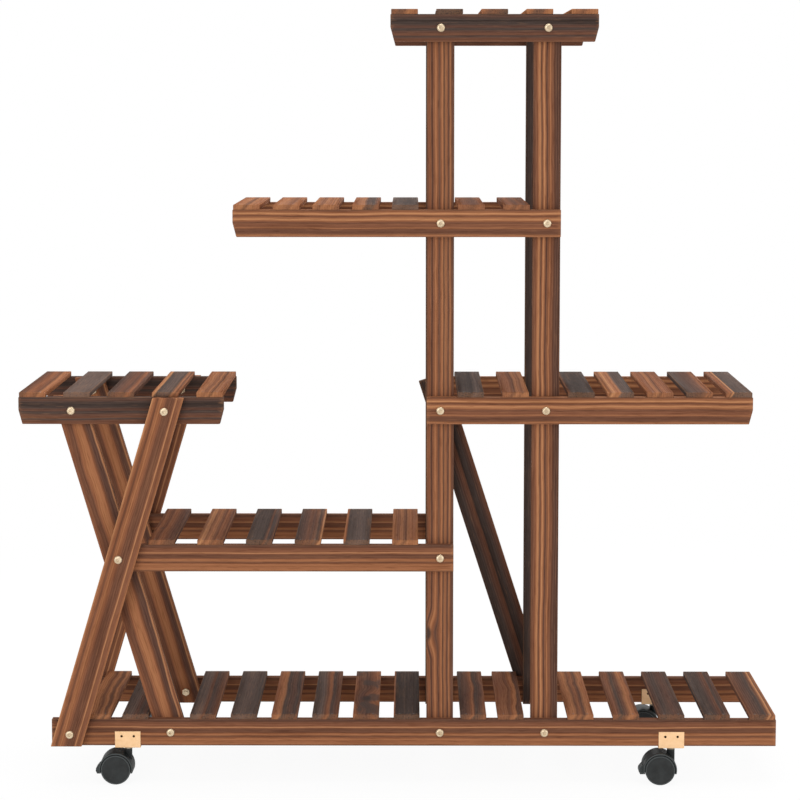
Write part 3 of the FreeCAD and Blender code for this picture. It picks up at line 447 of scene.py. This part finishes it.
def make_figure():
    """What lies on a board's tones: rings, streaks, fibres, scorched spots and worn edges."""
    tree, graph, given, leaving = new_group("grain_figure", FIGURE_INPUTS, FIGURE_OUTPUTS)
    x, y, z = graph.split(given["Place"])
    along = x + given["Seed"]
    across = given["Across"]
    deep = given["Deep"]

    # growth rings lie round a pith beside the board
    radius = (across - PITH_ACROSS).hypot(deep - PITH_DEEP)
    uneven = graph.noise(graph.vector(radius * RING_CHANGES, given["Seed"], 0.0), detail=1.0)
    phase = radius / given["Ring"] + (uneven - 0.5) * RING_STRAY
    number = phase.math("FLOOR") + given["Seed"] * RING_NUMBERS_APART
    dark_strength = graph.random(number) * 0.7 + 0.3
    light_strength = graph.random(number + 0.5)

    # within a ring the wood darkens slowly and then turns light at once
    turn = phase.math("FRACT")
    dark_line = turn.rise(0.25, 0.74) * turn.rise(0.95, 0.84) * dark_strength * given["Lines"]
    light_line = turn.rise(0.90, 0.97) + turn.rise(0.16, 0.02)
    light_line = light_line * light_strength * light_strength * given["Lines"]

    grain = (along, across, deep)
    patches = grain_noise(graph, grain, PATCHES, detail=4.0)
    clouds = grain_noise(graph, grain, CLOUDS, detail=3.0)
    streaks = grain_noise(graph, grain, STREAKS, detail=3.0)
    dashes = grain_noise(graph, grain, DASHES, detail=1.0)
    fibres = grain_noise(graph, grain, FIBRES)

    # a board with more scorch has more and larger scorched spots
    spots_from = given["Scorch"] * -0.4 + 0.80
    scorched = patches.rise(spots_from, spots_from + 0.08)

    # each mark shows a share of a darker or lighter tone on what lies below it
    tone = given["Tone"]
    dark = graph.mix(1.0, tone, SOOTY, blend="MULTIPLY")
    light = graph.mix(PALE_SHARE, tone, linear(TONES["straw"]))
    marks = (
        (clouds.rise(0.50, 0.26), 0.42, dark),
        (clouds.rise(0.55, 0.78), 0.30, light),
        (dark_line, 0.85, dark),
        (light_line, 0.60, light),
        (streaks.rise(0.60, 0.80), 0.30, light),
        (streaks.rise(0.44, 0.24), 0.55, dark),
        (dashes.rise(0.57, 0.70), 0.45, dark),
        (dashes.rise(0.36, 0.26), 0.25, light),
        (scorched, 0.75, linear(TONES["char"])),
        (given["Knot"], 0.9, linear(TONES["soot"])),
    )
    colour = tone
    for mark, share, shown in marks:
        colour = graph.mix(mark * share, colour, shown)

    # arrises that the brush has worn light
    side = depth_within(y, given["Half Width"])
    face = depth_within(z, given["Half Thickness"])
    arris = side.math("MAXIMUM", face) + (patches - 0.5) * ARRIS_RAGGED
    colour = graph.mix(arris.rise(*ARRIS_WEAR) * 0.40, colour, light)

    # sawn ends, where short splinters have come off
    end = depth_within(x, given["Half Length"]) + (streaks - 0.5) * END_RAGGED
    colour = graph.mix(end.rise(*END_WEAR) * 0.35, colour, light)

    gain = fibres * FIBRE_CONTRAST + (1.0 - FIBRE_CONTRAST / 2.0)
    colour = graph.mix(1.0, colour, graph.vector(gain, gain, gain), blend="MULTIPLY")
    relief = fibres * 0.35 + streaks * 0.35 + dark_line * 0.5 - light_line * 0.1
    graph.feed(leaving.inputs["Color"], colour)
    graph.feed(leaving.inputs["Relief"], relief)
    graph.feed(leaving.inputs["Roughness"], fibres * 0.20 + dark_line * 0.10 + WOOD_ROUGHNESS)
    return tree


class Cut:
    """How a board was sawn and where it lies; its shown face is the one at negative depth."""

    def __init__(self, centre, along, across, half_length, half_width, half_thickness):
        self.centre = Vector(centre)
        self.along = Vector(along)
        self.across = Vector(across)
        self.half_length = half_length
        self.half_width = half_width
        self.half_thickness = half_thickness

    def turn(self):
        deep = self.along.cross(self.across)
        return Matrix((self.along, self.across, deep)).transposed().to_euler()


def fill_inputs(group, cut, settings):
    """Sets those inputs of a group node that it shares with the settings."""
    known = {"Half Length": cut.half_length, "Half Width": cut.half_width,
             "Half Thickness": cut.half_thickness, **settings}
    for name, setting in known.items():
        if name in group.inputs:
            group.inputs[name].default_value = setting


def wood_material(name, cut, seed, stripes, ring=0.0036, wander=0.0015, lines=0.5,
                  scorch=0.0, knot=(0.0, 0.0, 0.0)):
    """One board's own wood.

    Stripes are places across it in millimetres, with their tones. Ring is the spacing of its
    growth rings, wander how far its grain strays, lines how strongly the rings show, scorch
    how much it is burnt, and knot a knot's place along and across it and that knot's size.
    """
    material, graph, shader = new_material(name)
    coordinates = graph.node("ShaderNodeTexCoord")
    mapping = graph.node("ShaderNodeMapping", vector_type="TEXTURE")
    mapping.inputs["Location"].default_value = cut.centre
    mapping.inputs["Rotation"].default_value = cut.turn()
    graph.tree.links.new(coordinates.outputs["Object"], mapping.inputs["Vector"])
    course = graph.node("ShaderNodeGroup", node_tree=COURSE)
    figure = graph.node("ShaderNodeGroup", node_tree=FIGURE)
    settings = {"Seed": seed, "Ring": ring, "Wander": wander, "Lines": lines,
                "Scorch": scorch, "Knot Along": knot[0], "Knot Across": knot[1],
                "Knot Size": knot[2]}
    for group in (course, figure):
        graph.tree.links.new(mapping.outputs[0], group.inputs["Place"])
        fill_inputs(group, cut, settings)
    for link in ("Across", "Deep", "Knot"):
        graph.tree.links.new(course.outputs[link], figure.inputs[link])
    ramp = graph.node("ShaderNodeValToRGB")
    graph.tree.links.new(course.outputs["Stripe"], ramp.inputs["Fac"])
    paint_stripes(ramp.color_ramp, stripes, cut.half_width)
    graph.tree.links.new(ramp.outputs["Color"], figure.inputs["Tone"])
    graph.tree.links.new(figure.outputs["Color"], shader.inputs["Base Color"])
    graph.tree.links.new(figure.outputs["Roughness"], shader.inputs["Roughness"])
    shader.inputs["Specular IOR Level"].default_value = WOOD_GLOSS
    relief = Field(graph, figure.outputs["Relief"])
    graph.feed(shader.inputs["Normal"], graph.bump(relief, RELIEF_DEPTH, RELIEF_STRENGTH))
    return material


def paint_stripes(ramp, stripes, half_width):
    """Lays the tones across the board's width, from its negative edge to its positive one."""
    while len(ramp.elements) < len(stripes):
        ramp.elements.new(0.5)
    for element, (millimetres, tone) in zip(ramp.elements, stripes):
        share = (millimetres / 1000.0 / half_width + 1.0) / 2.0
        element.position = min(max(share, 0.0), 1.0)
        element.color = linear(TONES[tone])


COURSE = make_course()
FIGURE = make_figure()

# What each slat shows, from left to right: the tones of its stripes at their places across
# it, in millimetres from its middle, and whatever else sets it apart.
SLAT_LOOKS = {
    "top": [
        dict(stripes=((-16, "dusk"), (-11, "chestnut"), (-6, "dusk"), (2, "umber"),
                      (8, "honey"), (16, "amber"))),
        dict(stripes=((-18, "char"), (18, "soot")), lines=0.1),
        dict(stripes=((-16, "amber"), (-10, "chestnut"), (-4, "dusk"), (3, "umber"),
                      (9, "dusk"), (18, "char"))),
        dict(stripes=((-17, "honey"), (-10, "amber"), (-6, "dusk"), (6, "dusk"),
                      (10, "amber"), (17, "honey"))),
        dict(stripes=((-16, "honey"), (-8, "amber"), (0, "umber"), (7, "amber"),
                      (16, "honey")), lines=0.8),
    ],
    "upper": [
        dict(stripes=((-18, "amber"), (-5, "honey"), (1, "umber"), (5, "honey"),
                      (16, "amber")), wander=0.003),
        dict(stripes=((-18, "amber"), (-8, "honey"), (7, "chestnut"), (11, "honey"),
                      (18, "amber")), wander=0.003),
        dict(stripes=((-16, "honey"), (-6, "chestnut"), (-2, "honey"), (4, "amber"),
                      (10, "honey"), (16, "chestnut")), lines=0.8),
        dict(stripes=((-18, "amber"), (-3, "honey"), (1, "dusk"), (11, "char"),
                      (16, "chestnut"))),
        dict(stripes=((-18, "ash"), (0, "char"), (18, "ash")), lines=0.1),
        dict(stripes=((-16, "amber"), (-6, "chestnut"), (4, "umber"), (12, "amber"),
                      (18, "chestnut")), wander=0.003),
        dict(stripes=((-16, "chestnut"), (-8, "amber"), (0, "umber"), (5, "amber"),
                      (10, "umber"), (16, "chestnut")), lines=0.8, ring=0.003),
    ],
    "right": [
        dict(stripes=((-18, "char"), (-4, "char"), (2, "soot"), (8, "ash"), (18, "char")),
             lines=0.3),
        dict(stripes=((-18, "chestnut"), (-8, "amber"), (-1, "umber"), (4, "honey"),
                      (10, "chestnut"), (14, "honey")), wander=0.003, lines=0.8),
        dict(stripes=((-18, "umber"), (-14, "char"), (0, "soot"), (18, "char")), lines=0.1),
        dict(stripes=((-18, "honey"), (-14, "chestnut"), (-10, "straw"), (-5, "amber"),
                      (-1, "honey"), (2, "ash"), (18, "char"))),
        dict(stripes=((-16, "amber"), (-8, "chestnut"), (-3, "honey"), (2, "umber"),
                      (6, "amber"), (16, "chestnut")), lines=1.0, ring=0.003),
        dict(stripes=((-18, "char"), (4, "dusk"), (10, "umber"), (13, "amber"),
                      (15, "umber"), (18, "amber"))),
        dict(stripes=((-18, "umber"), (-13, "amber"), (-10, "umber"), (-8, "straw"),
                      (-6, "char"), (18, "ash")), lines=0.2, wander=0.0005),
    ],
    "left": [
        dict(stripes=((-18, "dusk"), (-10, "umber"), (-3, "amber"), (3, "chestnut"),
                      (8, "umber"), (12, "honey"), (17, "amber")), wander=0.003),
        dict(stripes=((-18, "ash"), (18, "ash")), lines=0.04),
        dict(stripes=((-18, "char"), (-8, "dusk"), (-1, "umber"), (5, "dusk"),
                      (11, "amber"), (16, "dusk")), wander=0.002),
        dict(stripes=((-18, "amber"), (-14, "straw"), (-11, "char"), (3, "ash"),
                      (8, "char"), (12, "honey"), (15, "umber"), (18, "amber"))),
        dict(stripes=((-18, "amber"), (-9, "honey"), (-2, "chestnut"), (2, "honey"),
                      (6, "umber"), (10, "honey"), (17, "amber")), wander=0.005, lines=0.8),
    ],
    "low": [
        dict(stripes=((-18, "umber"), (-12, "amber"), (-6, "umber"), (0, "amber"),
                      (7, "umber"), (16, "dusk")), wander=0.004, scorch=0.5),
        dict(stripes=((-18, "chestnut"), (-11, "straw"), (-7, "chestnut"), (-1, "honey"),
                      (5, "umber"), (9, "amber"), (16, "umber")), lines=0.8),
        dict(stripes=((-18, "char"), (2, "char"), (6, "soot"), (10, "umber"), (12, "char"),
                      (18, "dusk")), lines=0.3),
        dict(stripes=((-18, "char"), (-7, "dusk"), (-1, "umber"), (3, "dusk"),
                      (7, "umber"), (12, "char"), (15, "umber"), (18, "straw"))),
        dict(stripes=((-18, "honey"), (-16, "amber"), (-14, "char"), (4, "ash"),
                      (18, "char")), lines=0.3, wander=0.0005),
        dict(stripes=((-18, "honey"), (-10, "chestnut"), (-5, "honey"), (1, "umber"),
                      (5, "honey"), (11, "amber"), (18, "honey")), lines=0.8),
    ],
    "base": [
        dict(stripes=((-18, "amber"), (-8, "honey"), (-1, "umber"), (3, "honey"),
                      (8, "dusk"), (12, "honey"), (18, "umber")), wander=0.008, lines=0.8),
        dict(stripes=((-18, "char"), (-5, "ash"), (2, "dusk"), (7, "char"), (13, "dusk"),
                      (17, "char")), wander=0.003, scorch=0.4),
        dict(stripes=((-18, "char"), (-5, "ash"), (1, "umber"), (4, "char"), (11, "dusk"),
                      (18, "umber")), lines=0.4),
        dict(stripes=((-18, "char"), (0, "ash"), (18, "char")), lines=0.3),
        dict(stripes=((-18, "chestnut"), (-13, "amber"), (-7, "honey"), (-3, "char"),
                      (6, "dusk"), (13, "char"), (18, "umber")), wander=0.004),
        dict(stripes=((-18, "char"), (-6, "ash"), (0, "umber"), (4, "amber"), (8, "char"),
                      (13, "dusk"), (18, "umber")), wander=0.004),
        dict(stripes=((-18, "amber"), (-12, "umber"), (0, "dusk"), (7, "umber"),
                      (12, "chestnut"), (17, "amber")), wander=0.006, scorch=0.7,
             knot=(-0.035, -0.001, 0.010)),
        dict(stripes=((-18, "amber"), (-16.5, "umber"), (-15.5, "soot"), (4, "char"),
                      (18, "soot")), lines=0.3, wander=0.0005),
        dict(stripes=((-18, "char"), (-8, "dusk"), (-3, "umber"), (1, "amber"),
                      (5, "char"), (11, "dusk"), (17, "chestnut")), wander=0.005),
        dict(stripes=((-18, "chestnut"), (-5, "chestnut"), (1, "umber"), (4, "amber"),
                      (8, "honey"), (11, "dusk"), (18, "umber")), wander=0.007),
        dict(stripes=((-18, "amber"), (-9, "honey"), (-4, "umber"), (1, "amber"),
                      (7, "dusk"), (12, "honey"), (18, "amber")), wander=0.007),
        dict(stripes=((-18, "umber"), (-10, "chestnut"), (-4, "char"), (3, "umber"),
                      (8, "honey"), (13, "amber"), (18, "dusk")), wander=0.005),
        dict(stripes=((-18, "dusk"), (-6, "char"), (5, "dusk"), (18, "char")), lines=0.4),
        dict(stripes=((-18, "char"), (-4, "char"), (3, "dusk"), (7, "umber"), (9, "char"),
                      (18, "dusk"))),
        dict(stripes=((-18, "umber"), (-9, "dusk"), (4, "char"), (9, "umber"),
                      (12, "straw"), (14, "umber"), (18, "honey"))),
    ],
}

# The stripes of a level rail, from its lower edge to its upper one.
CALM_RAIL = ((-18.5, "umber"), (-16, "honey"), (-13, "amber"), (-10, "honey"),
             (-8, "amber"), (-5.8, "umber"), (-3.2, "honey"), (-1.2, "amber"),
             (0.4, "umber"), (5, "umber"), (6.6, "chestnut"), (7.6, "straw"),
             (8.8, "chestnut"), (13, "chestnut"), (15.5, "umber"), (18.5, "dusk"))
WAVY_RAIL = ((-18.5, "chestnut"), (-16.5, "honey"), (-14, "umber"), (-8.8, "umber"),
             (-7.2, "chestnut"), (-6.4, "honey"), (-5, "chestnut"), (-1.4, "chestnut"),
             (1.2, "umber"), (3.4, "amber"), (6, "straw"), (8.2, "amber"), (10, "umber"),
             (11.6, "amber"), (13.6, "straw"), (15.8, "amber"), (18.5, "umber"))
DARK_RAIL = ((-18.5, "umber"), (-15, "umber"), (-13, "dusk"), (-11.2, "char"),
             (-9, "umber"), (-5, "dusk"), (-2.2, "char"), (-0.8, "char"), (0.8, "dusk"),
             (2.6, "dusk"), (5, "char"), (10, "soot"), (12, "char"), (16.5, "dusk"),
             (18.5, "char"))
RAIL_LOOKS = {
    "top": dict(stripes=DARK_RAIL),
    "upper": dict(stripes=WAVY_RAIL, wander=0.0022),
    "right": dict(stripes=WAVY_RAIL, wander=0.0022),
    "left": dict(stripes=DARK_RAIL),
    "low": dict(stripes=CALM_RAIL, wander=0.0008),
    "base": dict(stripes=CALM_RAIL, wander=0.0018),
}

# The stripes of an upright or slanted board, from its left edge to its right one.
LEFT_POST = ((-18.5, "umber"), (-14.5, "amber"), (-12.2, "dusk"), (-10, "chestnut"),
             (-7, "honey"), (-4.6, "amber"), (-2, "dusk"), (0.8, "amber"), (3, "honey"),
             (4.8, "dusk"), (7.4, "honey"), (9, "chestnut"), (11, "dusk"), (13.6, "honey"),
             (15.4, "umber"), (18.5, "dusk"))
RIGHT_POST = ((-18.5, "umber"), (-15, "chestnut"), (-13, "amber"), (-11.4, "straw"),
              (-9.8, "honey"), (-8.3, "dusk"), (-6.4, "amber"), (-4.6, "straw"),
              (-2.8, "amber"), (-0.9, "dusk"), (1.2, "chestnut"), (3.6, "honey"),
              (6, "chestnut"), (9, "umber"), (12, "dusk"), (18.5, "dusk"))
OUTER_LEG = ((-20.5, "straw"), (-18, "amber"), (-16, "amber"), (-13.4, "umber"),
             (-11, "amber"), (-8.4, "honey"), (-5, "amber"), (-2, "chestnut"),
             (0.6, "umber"), (8.6, "umber"), (11, "chestnut"), (12.4, "straw"),
             (13.8, "chestnut"), (18, "chestnut"), (20, "honey"))
INNER_LEG = ((-20, "amber"), (-17, "chestnut"), (-12, "umber"), (-8.6, "umber"),
             (-5.8, "amber"), (-2, "honey"), (2, "honey"), (6, "amber"), (8.6, "umber"),
             (11, "dusk"), (16, "dusk"), (18.4, "straw"), (19.4, "chestnut"))
# Darker tones for the back posts and the back brace, which paint the shade they stand in.
BACK_BOARD_PAINTED_SHADE = ((-20, "soot"), (-11, "char"), (-6, "dusk"), (0, "umber"), (3, "soot"),
              (10, "char"), (16, "dusk"), (19, "umber"))
UPRIGHT_LOOKS = {
    "left_post_front": dict(stripes=LEFT_POST, wander=0.0014,
                            lines=0.8, knot=(-0.3565, -0.0165, 0.0065)),
    "right_post_front": dict(stripes=RIGHT_POST, lines=0.8, wander=0.0018),
    "left_post_back": dict(stripes=BACK_BOARD_PAINTED_SHADE, wander=0.0018),
    "right_post_back": dict(stripes=BACK_BOARD_PAINTED_SHADE, wander=0.0018),
    "outer_leg_front": dict(stripes=OUTER_LEG, wander=0.0012),
    "inner_leg_front": dict(stripes=INNER_LEG, wander=0.0060, scorch=0.35),
    "outer_leg_back": dict(stripes=OUTER_LEG, wander=0.0014),
    "inner_leg_back": dict(stripes=INNER_LEG, wander=0.0014),
    "back_brace": dict(stripes=BACK_BOARD_PAINTED_SHADE, wander=0.0014),
}


# Seeds of the boards' and the slats' figure, and the steps from one to the next.
BOARD_SEED = 3.1
BOARD_SEED_STEP = 1.37
SLAT_SEED = 71.3
SLAT_SEED_STEP = 1.91

WELD_DISTANCE = 1e-6
CREASE_ANGLE = 50.0       # degrees; a sharper edge of a slat stays crisp
LEAN_LIMIT = 45.0         # degrees; the lean of a board is sought up to it on both sides
LEAN_STEP = 0.05          # degrees


def lean(node):
    """How a board stands in the XZ plane, tilted or not: along, across and its half sizes."""
    points = np.array([tuple(vertex.co) for vertex in nodes[node].data.vertices])[:, (0, 2)]
    angles = np.radians(np.arange(-LEAN_LIMIT, LEAN_LIMIT, LEAN_STEP))
    sideways = np.stack([np.cos(angles), -np.sin(angles)])
    reach = points @ sideways
    widths = reach.max(axis=0) - reach.min(axis=0)
    best = angles[np.argmin(widths)]
    up = Vector((math.sin(best), 0.0, math.cos(best)))
    aside = Vector((math.cos(best), 0.0, -math.sin(best)))
    heights = points @ np.array((up.x, up.z))
    half_length = (heights.max() - heights.min()) / 2.0
    return up, aside, half_length, widths.min() / 2.0


def board_cut(node, upright):
    """How a rail, or else an upright or slanted board, was sawn; its front face is shown."""
    low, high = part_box(node)
    centre = (low + high) / 2.0
    half_thickness = (high.y - low.y) / 2.0
    if upright:
        return Cut(centre, *lean(node), half_thickness)
    half_length = (high.x - low.x) / 2.0
    half_width = (high.z - low.z) / 2.0
    return Cut(centre, (-1, 0, 0), (0, 0, 1), half_length, half_width, half_thickness)


def give(node, material):
    """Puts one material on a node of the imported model."""
    for slot in nodes[node].material_slots:
        slot.material = material


def finish_boards():
    """Wood of its own for every rail, post, leg and brace."""
    seed = BOARD_SEED
    for shelf in SHELVES:
        for side in SIDES:
            name = "%s_rail_%s" % (shelf, side)
            seed += BOARD_SEED_STEP
            cut = board_cut(name, upright=False)
            give(name, wood_material("wood_" + name, cut, seed, **RAIL_LOOKS[shelf]))
    for name, look in UPRIGHT_LOOKS.items():
        seed += BOARD_SEED_STEP
        cut = board_cut(name, upright=True)
        give(name, wood_material("wood_" + name, cut, seed, **look))


def islands(sketch):
    """The separate solids of a mesh, as lists of faces."""
    seen = set()
    found = []
    for first in sketch.faces:
        if first in seen:
            continue
        seen.add(first)
        reached = [first]
        group = []
        while reached:
            face = reached.pop()
            group.append(face)
            for edge in face.edges:
                for other in edge.link_faces:
                    if other not in seen:
                        seen.add(other)
                        reached.append(other)
        found.append(group)
    return found


def slat_meshes(node):
    """A welded mesh of each slat of a shelf, from left to right."""
    sketch = bmesh.new()
    sketch.from_mesh(nodes[node].data)
    bmesh.ops.remove_doubles(sketch, verts=sketch.verts, dist=WELD_DISTANCE)
    meshes = []
    for group in islands(sketch):
        slat = bmesh.new()
        copies = {}
        for face in group:
            corners = []
            for vertex in face.verts:
                if vertex not in copies:
                    copies[vertex] = slat.verts.new(vertex.co)
                corners.append(copies[vertex])
            slat.faces.new(corners)
        mesh = bpy.data.meshes.new("slat")
        slat.to_mesh(mesh)
        slat.free()
        meshes.append(mesh)
    sketch.free()
    return sorted(meshes, key=lambda mesh: min(vertex.co.x for vertex in mesh.vertices))


def box_of(mesh):
    """The lowest and the highest corner of a mesh."""
    points = np.array([tuple(vertex.co) for vertex in mesh.vertices])
    return Vector(points.min(axis=0)), Vector(points.max(axis=0))


def make_slats():
    """Every slat as a piece of its own, in place of its shelf's node."""
    seed = SLAT_SEED
    for shelf in SHELVES:
        node = shelf + "_slats"
        looks = SLAT_LOOKS[shelf]
        for number, (mesh, look) in enumerate(zip(slat_meshes(node), looks), start=1):
            seed += SLAT_SEED_STEP
            name = "%s_slat_%d" % (shelf, number)
            mesh.name = name
            low, high = box_of(mesh)
            half = (high - low) / 2.0
            cut = Cut((low + high) / 2.0, (0, 1, 0), (1, 0, 0), half.y, half.x, half.z)
            mesh.materials.append(wood_material("wood_" + name, cut, seed, **look))
            mesh.shade_smooth()
            mesh.set_sharp_from_angle(angle=math.radians(CREASE_ANGLE))
            slat = bpy.data.objects.new(name, mesh)
            bpy.context.scene.collection.objects.link(slat)
            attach(slat, "stand")
            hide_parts(node)


# ------------------------------------------------------------ metal and plastic


def object_place(graph):
    return Field(graph, graph.node("ShaderNodeTexCoord").outputs["Object"])


def scaled(graph, place, scale):
    made = graph.node("ShaderNodeVectorMath", operation="SCALE")
    graph.feed(made.inputs[0], place)
    made.inputs["Scale"].default_value = scale
    return Field(graph, made.outputs[0])


# Changes in a metre of each finish's mottle and fine texture, and that texture's height.
METAL_MOTTLE = 260.0
METAL_TEXTURE = 2600.0
METAL_BUMP = 0.00002
PLASTIC_MOTTLE = 90.0
PLASTIC_TEXTURE = 1900.0
PLASTIC_BUMP = 0.00008
ENAMEL_MOTTLE = 150.0
ENAMEL_TEXTURE = 1400.0
ENAMEL_BUMP = 0.00003

PLASTIC_GLOSS = 0.14
ENAMEL_GLOSS = 0.3
HIGHLIGHT_RING_WIDTH = 0.0010     # of the painted highlight ring on a wheel's or a hood's rim
HIGHLIGHT_RING_SOFT = 0.3         # the share of that width over which either side fades
HOOD_HIGHLIGHT_RING = 0.0013        # from a wheel's tread out to the painted highlight ring on its hood
WHEEL_HIGHLIGHT_RING = -0.0019      # from a wheel's tread in to the painted highlight ring on its face
HOOD_TONES = ("181a1a", "212323", "4c5050")     # plain, pale, and the tone of worn edges and painted highlights
WHEEL_TONES = ("2a2b2b", "333535", "4e5252")
HOOD_ROUGHNESS = 0.42
WHEEL_ROUGHNESS = 0.46
ENAMEL_ROUGHNESS = 0.42


def metal_material(name, code, worn_code, roughness, metallic=1.0):
    """Plated or bare metal with a slight mottle and fine scratches."""
    material, graph, shader = new_material(name)
    place = object_place(graph)
    mottle = graph.noise(scaled(graph, place, METAL_MOTTLE), detail=4.0)
    fine = graph.noise(scaled(graph, place, METAL_TEXTURE))
    colour = graph.mix(mottle.rise(0.35, 0.75), linear(code), linear(worn_code))
    graph.feed(shader.inputs["Base Color"], colour)
    graph.feed(shader.inputs["Roughness"], mottle * 0.12 + fine * 0.10 + roughness)
    shader.inputs["Metallic"].default_value = metallic
    graph.feed(shader.inputs["Normal"], graph.bump(fine, METAL_BUMP))
    return material


def painted_highlight_ring(graph, place, corner, highlight_beyond_tread):
    """1 on a narrow ring about a caster's axle, where a rim highlight is painted, and 0
    elsewhere.
    """
    low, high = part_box("caster_wheel_outer_" + corner)
    centre = (low + high) / 2.0
    inner = (high.z - low.z) / 2.0 + highlight_beyond_tread
    outer = inner + HIGHLIGHT_RING_WIDTH
    soft = HIGHLIGHT_RING_WIDTH * HIGHLIGHT_RING_SOFT
    x, _, z = graph.split(place)
    far = (x - centre.x).hypot(z - centre.z)
    return far.rise(inner - soft, inner) * far.rise(outer + soft, outer)


def plastic_material(name, tones, roughness, corner=None, highlight_beyond_tread=0.0):
    """Moulded plastic with a fine spark-eroded texture, painted pale along its edges for wear
    and for the highlight they catch, and on a caster with a painted highlight ring on its rim.
    """
    plain, pale, wear_and_highlight_tone = [linear(code) for code in tones]
    material, graph, shader = new_material(name)
    place = object_place(graph)
    cloud = graph.noise(scaled(graph, place, PLASTIC_MOTTLE), detail=3.0)
    fine = graph.noise(scaled(graph, place, PLASTIC_TEXTURE), detail=3.0)
    colour = graph.mix(cloud.rise(0.3, 0.8), plain, pale)
    edge = Field(graph, graph.node("ShaderNodeNewGeometry").outputs["Pointiness"])
    # convex edges are painted pale, partly as wear and partly as a painted highlight
    wear_and_highlight = edge.rise(0.53, 0.62) * 0.7
    if corner:
        # a painted highlight: the pale ring where a rim catches the light
        ring = painted_highlight_ring(graph, place, corner, highlight_beyond_tread)
        wear_and_highlight = wear_and_highlight.math("MAXIMUM", ring * 0.8)
    colour = graph.mix(wear_and_highlight, colour, wear_and_highlight_tone)
    graph.feed(shader.inputs["Base Color"], colour)
    graph.feed(shader.inputs["Roughness"], cloud * 0.10 + fine * 0.12 + roughness)
    shader.inputs["Specular IOR Level"].default_value = PLASTIC_GLOSS
    graph.feed(shader.inputs["Normal"], graph.bump(fine, PLASTIC_BUMP))
    return material


def enamel_material(name, code, thin_code):
    """Satin enamel on sheet metal, a little thinner in patches."""
    material, graph, shader = new_material(name)
    place = object_place(graph)
    cloud = graph.noise(scaled(graph, place, ENAMEL_MOTTLE), detail=3.0)
    fine = graph.noise(scaled(graph, place, ENAMEL_TEXTURE))
    colour = graph.mix(cloud.rise(0.35, 0.80), linear(code), linear(thin_code))
    graph.feed(shader.inputs["Base Color"], colour)
    graph.feed(shader.inputs["Roughness"], cloud * 0.10 + fine * 0.08 + ENAMEL_ROUGHNESS)
    shader.inputs["Specular IOR Level"].default_value = ENAMEL_GLOSS
    graph.feed(shader.inputs["Normal"], graph.bump(fine, ENAMEL_BUMP))
    return material


def finish_fittings():
    """Materials for the bolts, brads, screws, brackets and casters."""
    bolt = metal_material("bolt_plating", "d8c3a4", "b9a384", 0.16, metallic=0.6)
    brad = metal_material("brad_steel", "4a4038", "3a3029", 0.45)
    screw = metal_material("screw_steel", "3f2a18", "2d1e12", 0.45)
    bracket = enamel_material("bracket_enamel", "f0c698", "eabd8a")
    pin = metal_material("pin_steel", "9a9080", "7d7466", 0.30)
    lever_plastic = plastic_material("lever_plastic", HOOD_TONES, HOOD_ROUGHNESS)
    give("frame_bolts", bolt)
    give("frame_nuts", bolt)
    give("slat_brads", brad)
    give("bracket_screws", screw)
    for corner in CORNERS:
        give("caster_bracket_" + corner, bracket)
        give("caster_pin_" + corner, pin)
        give("caster_axle_" + corner, pin)
        hood_plastic = plastic_material("hood_plastic_" + corner, HOOD_TONES,
                                        HOOD_ROUGHNESS, corner, HOOD_HIGHLIGHT_RING)
        wheel_plastic = plastic_material("wheel_plastic_" + corner, WHEEL_TONES,
                                         WHEEL_ROUGHNESS, corner, WHEEL_HIGHLIGHT_RING)
        give("caster_hood_" + corner, hood_plastic)
        give("caster_brake_" + corner, lever_plastic)
        give("caster_wheel_outer_" + corner, wheel_plastic)
        give("caster_wheel_inner_" + corner, wheel_plastic)


# ------------------------------------------------------------ the scene

bpy.context.scene.view_settings.view_transform = "Standard"
make_camera()
make_lamps()
make_world()
make_floor()
finish_boards()
make_slats()
finish_fittings()

bpy.context.view_layer.update()
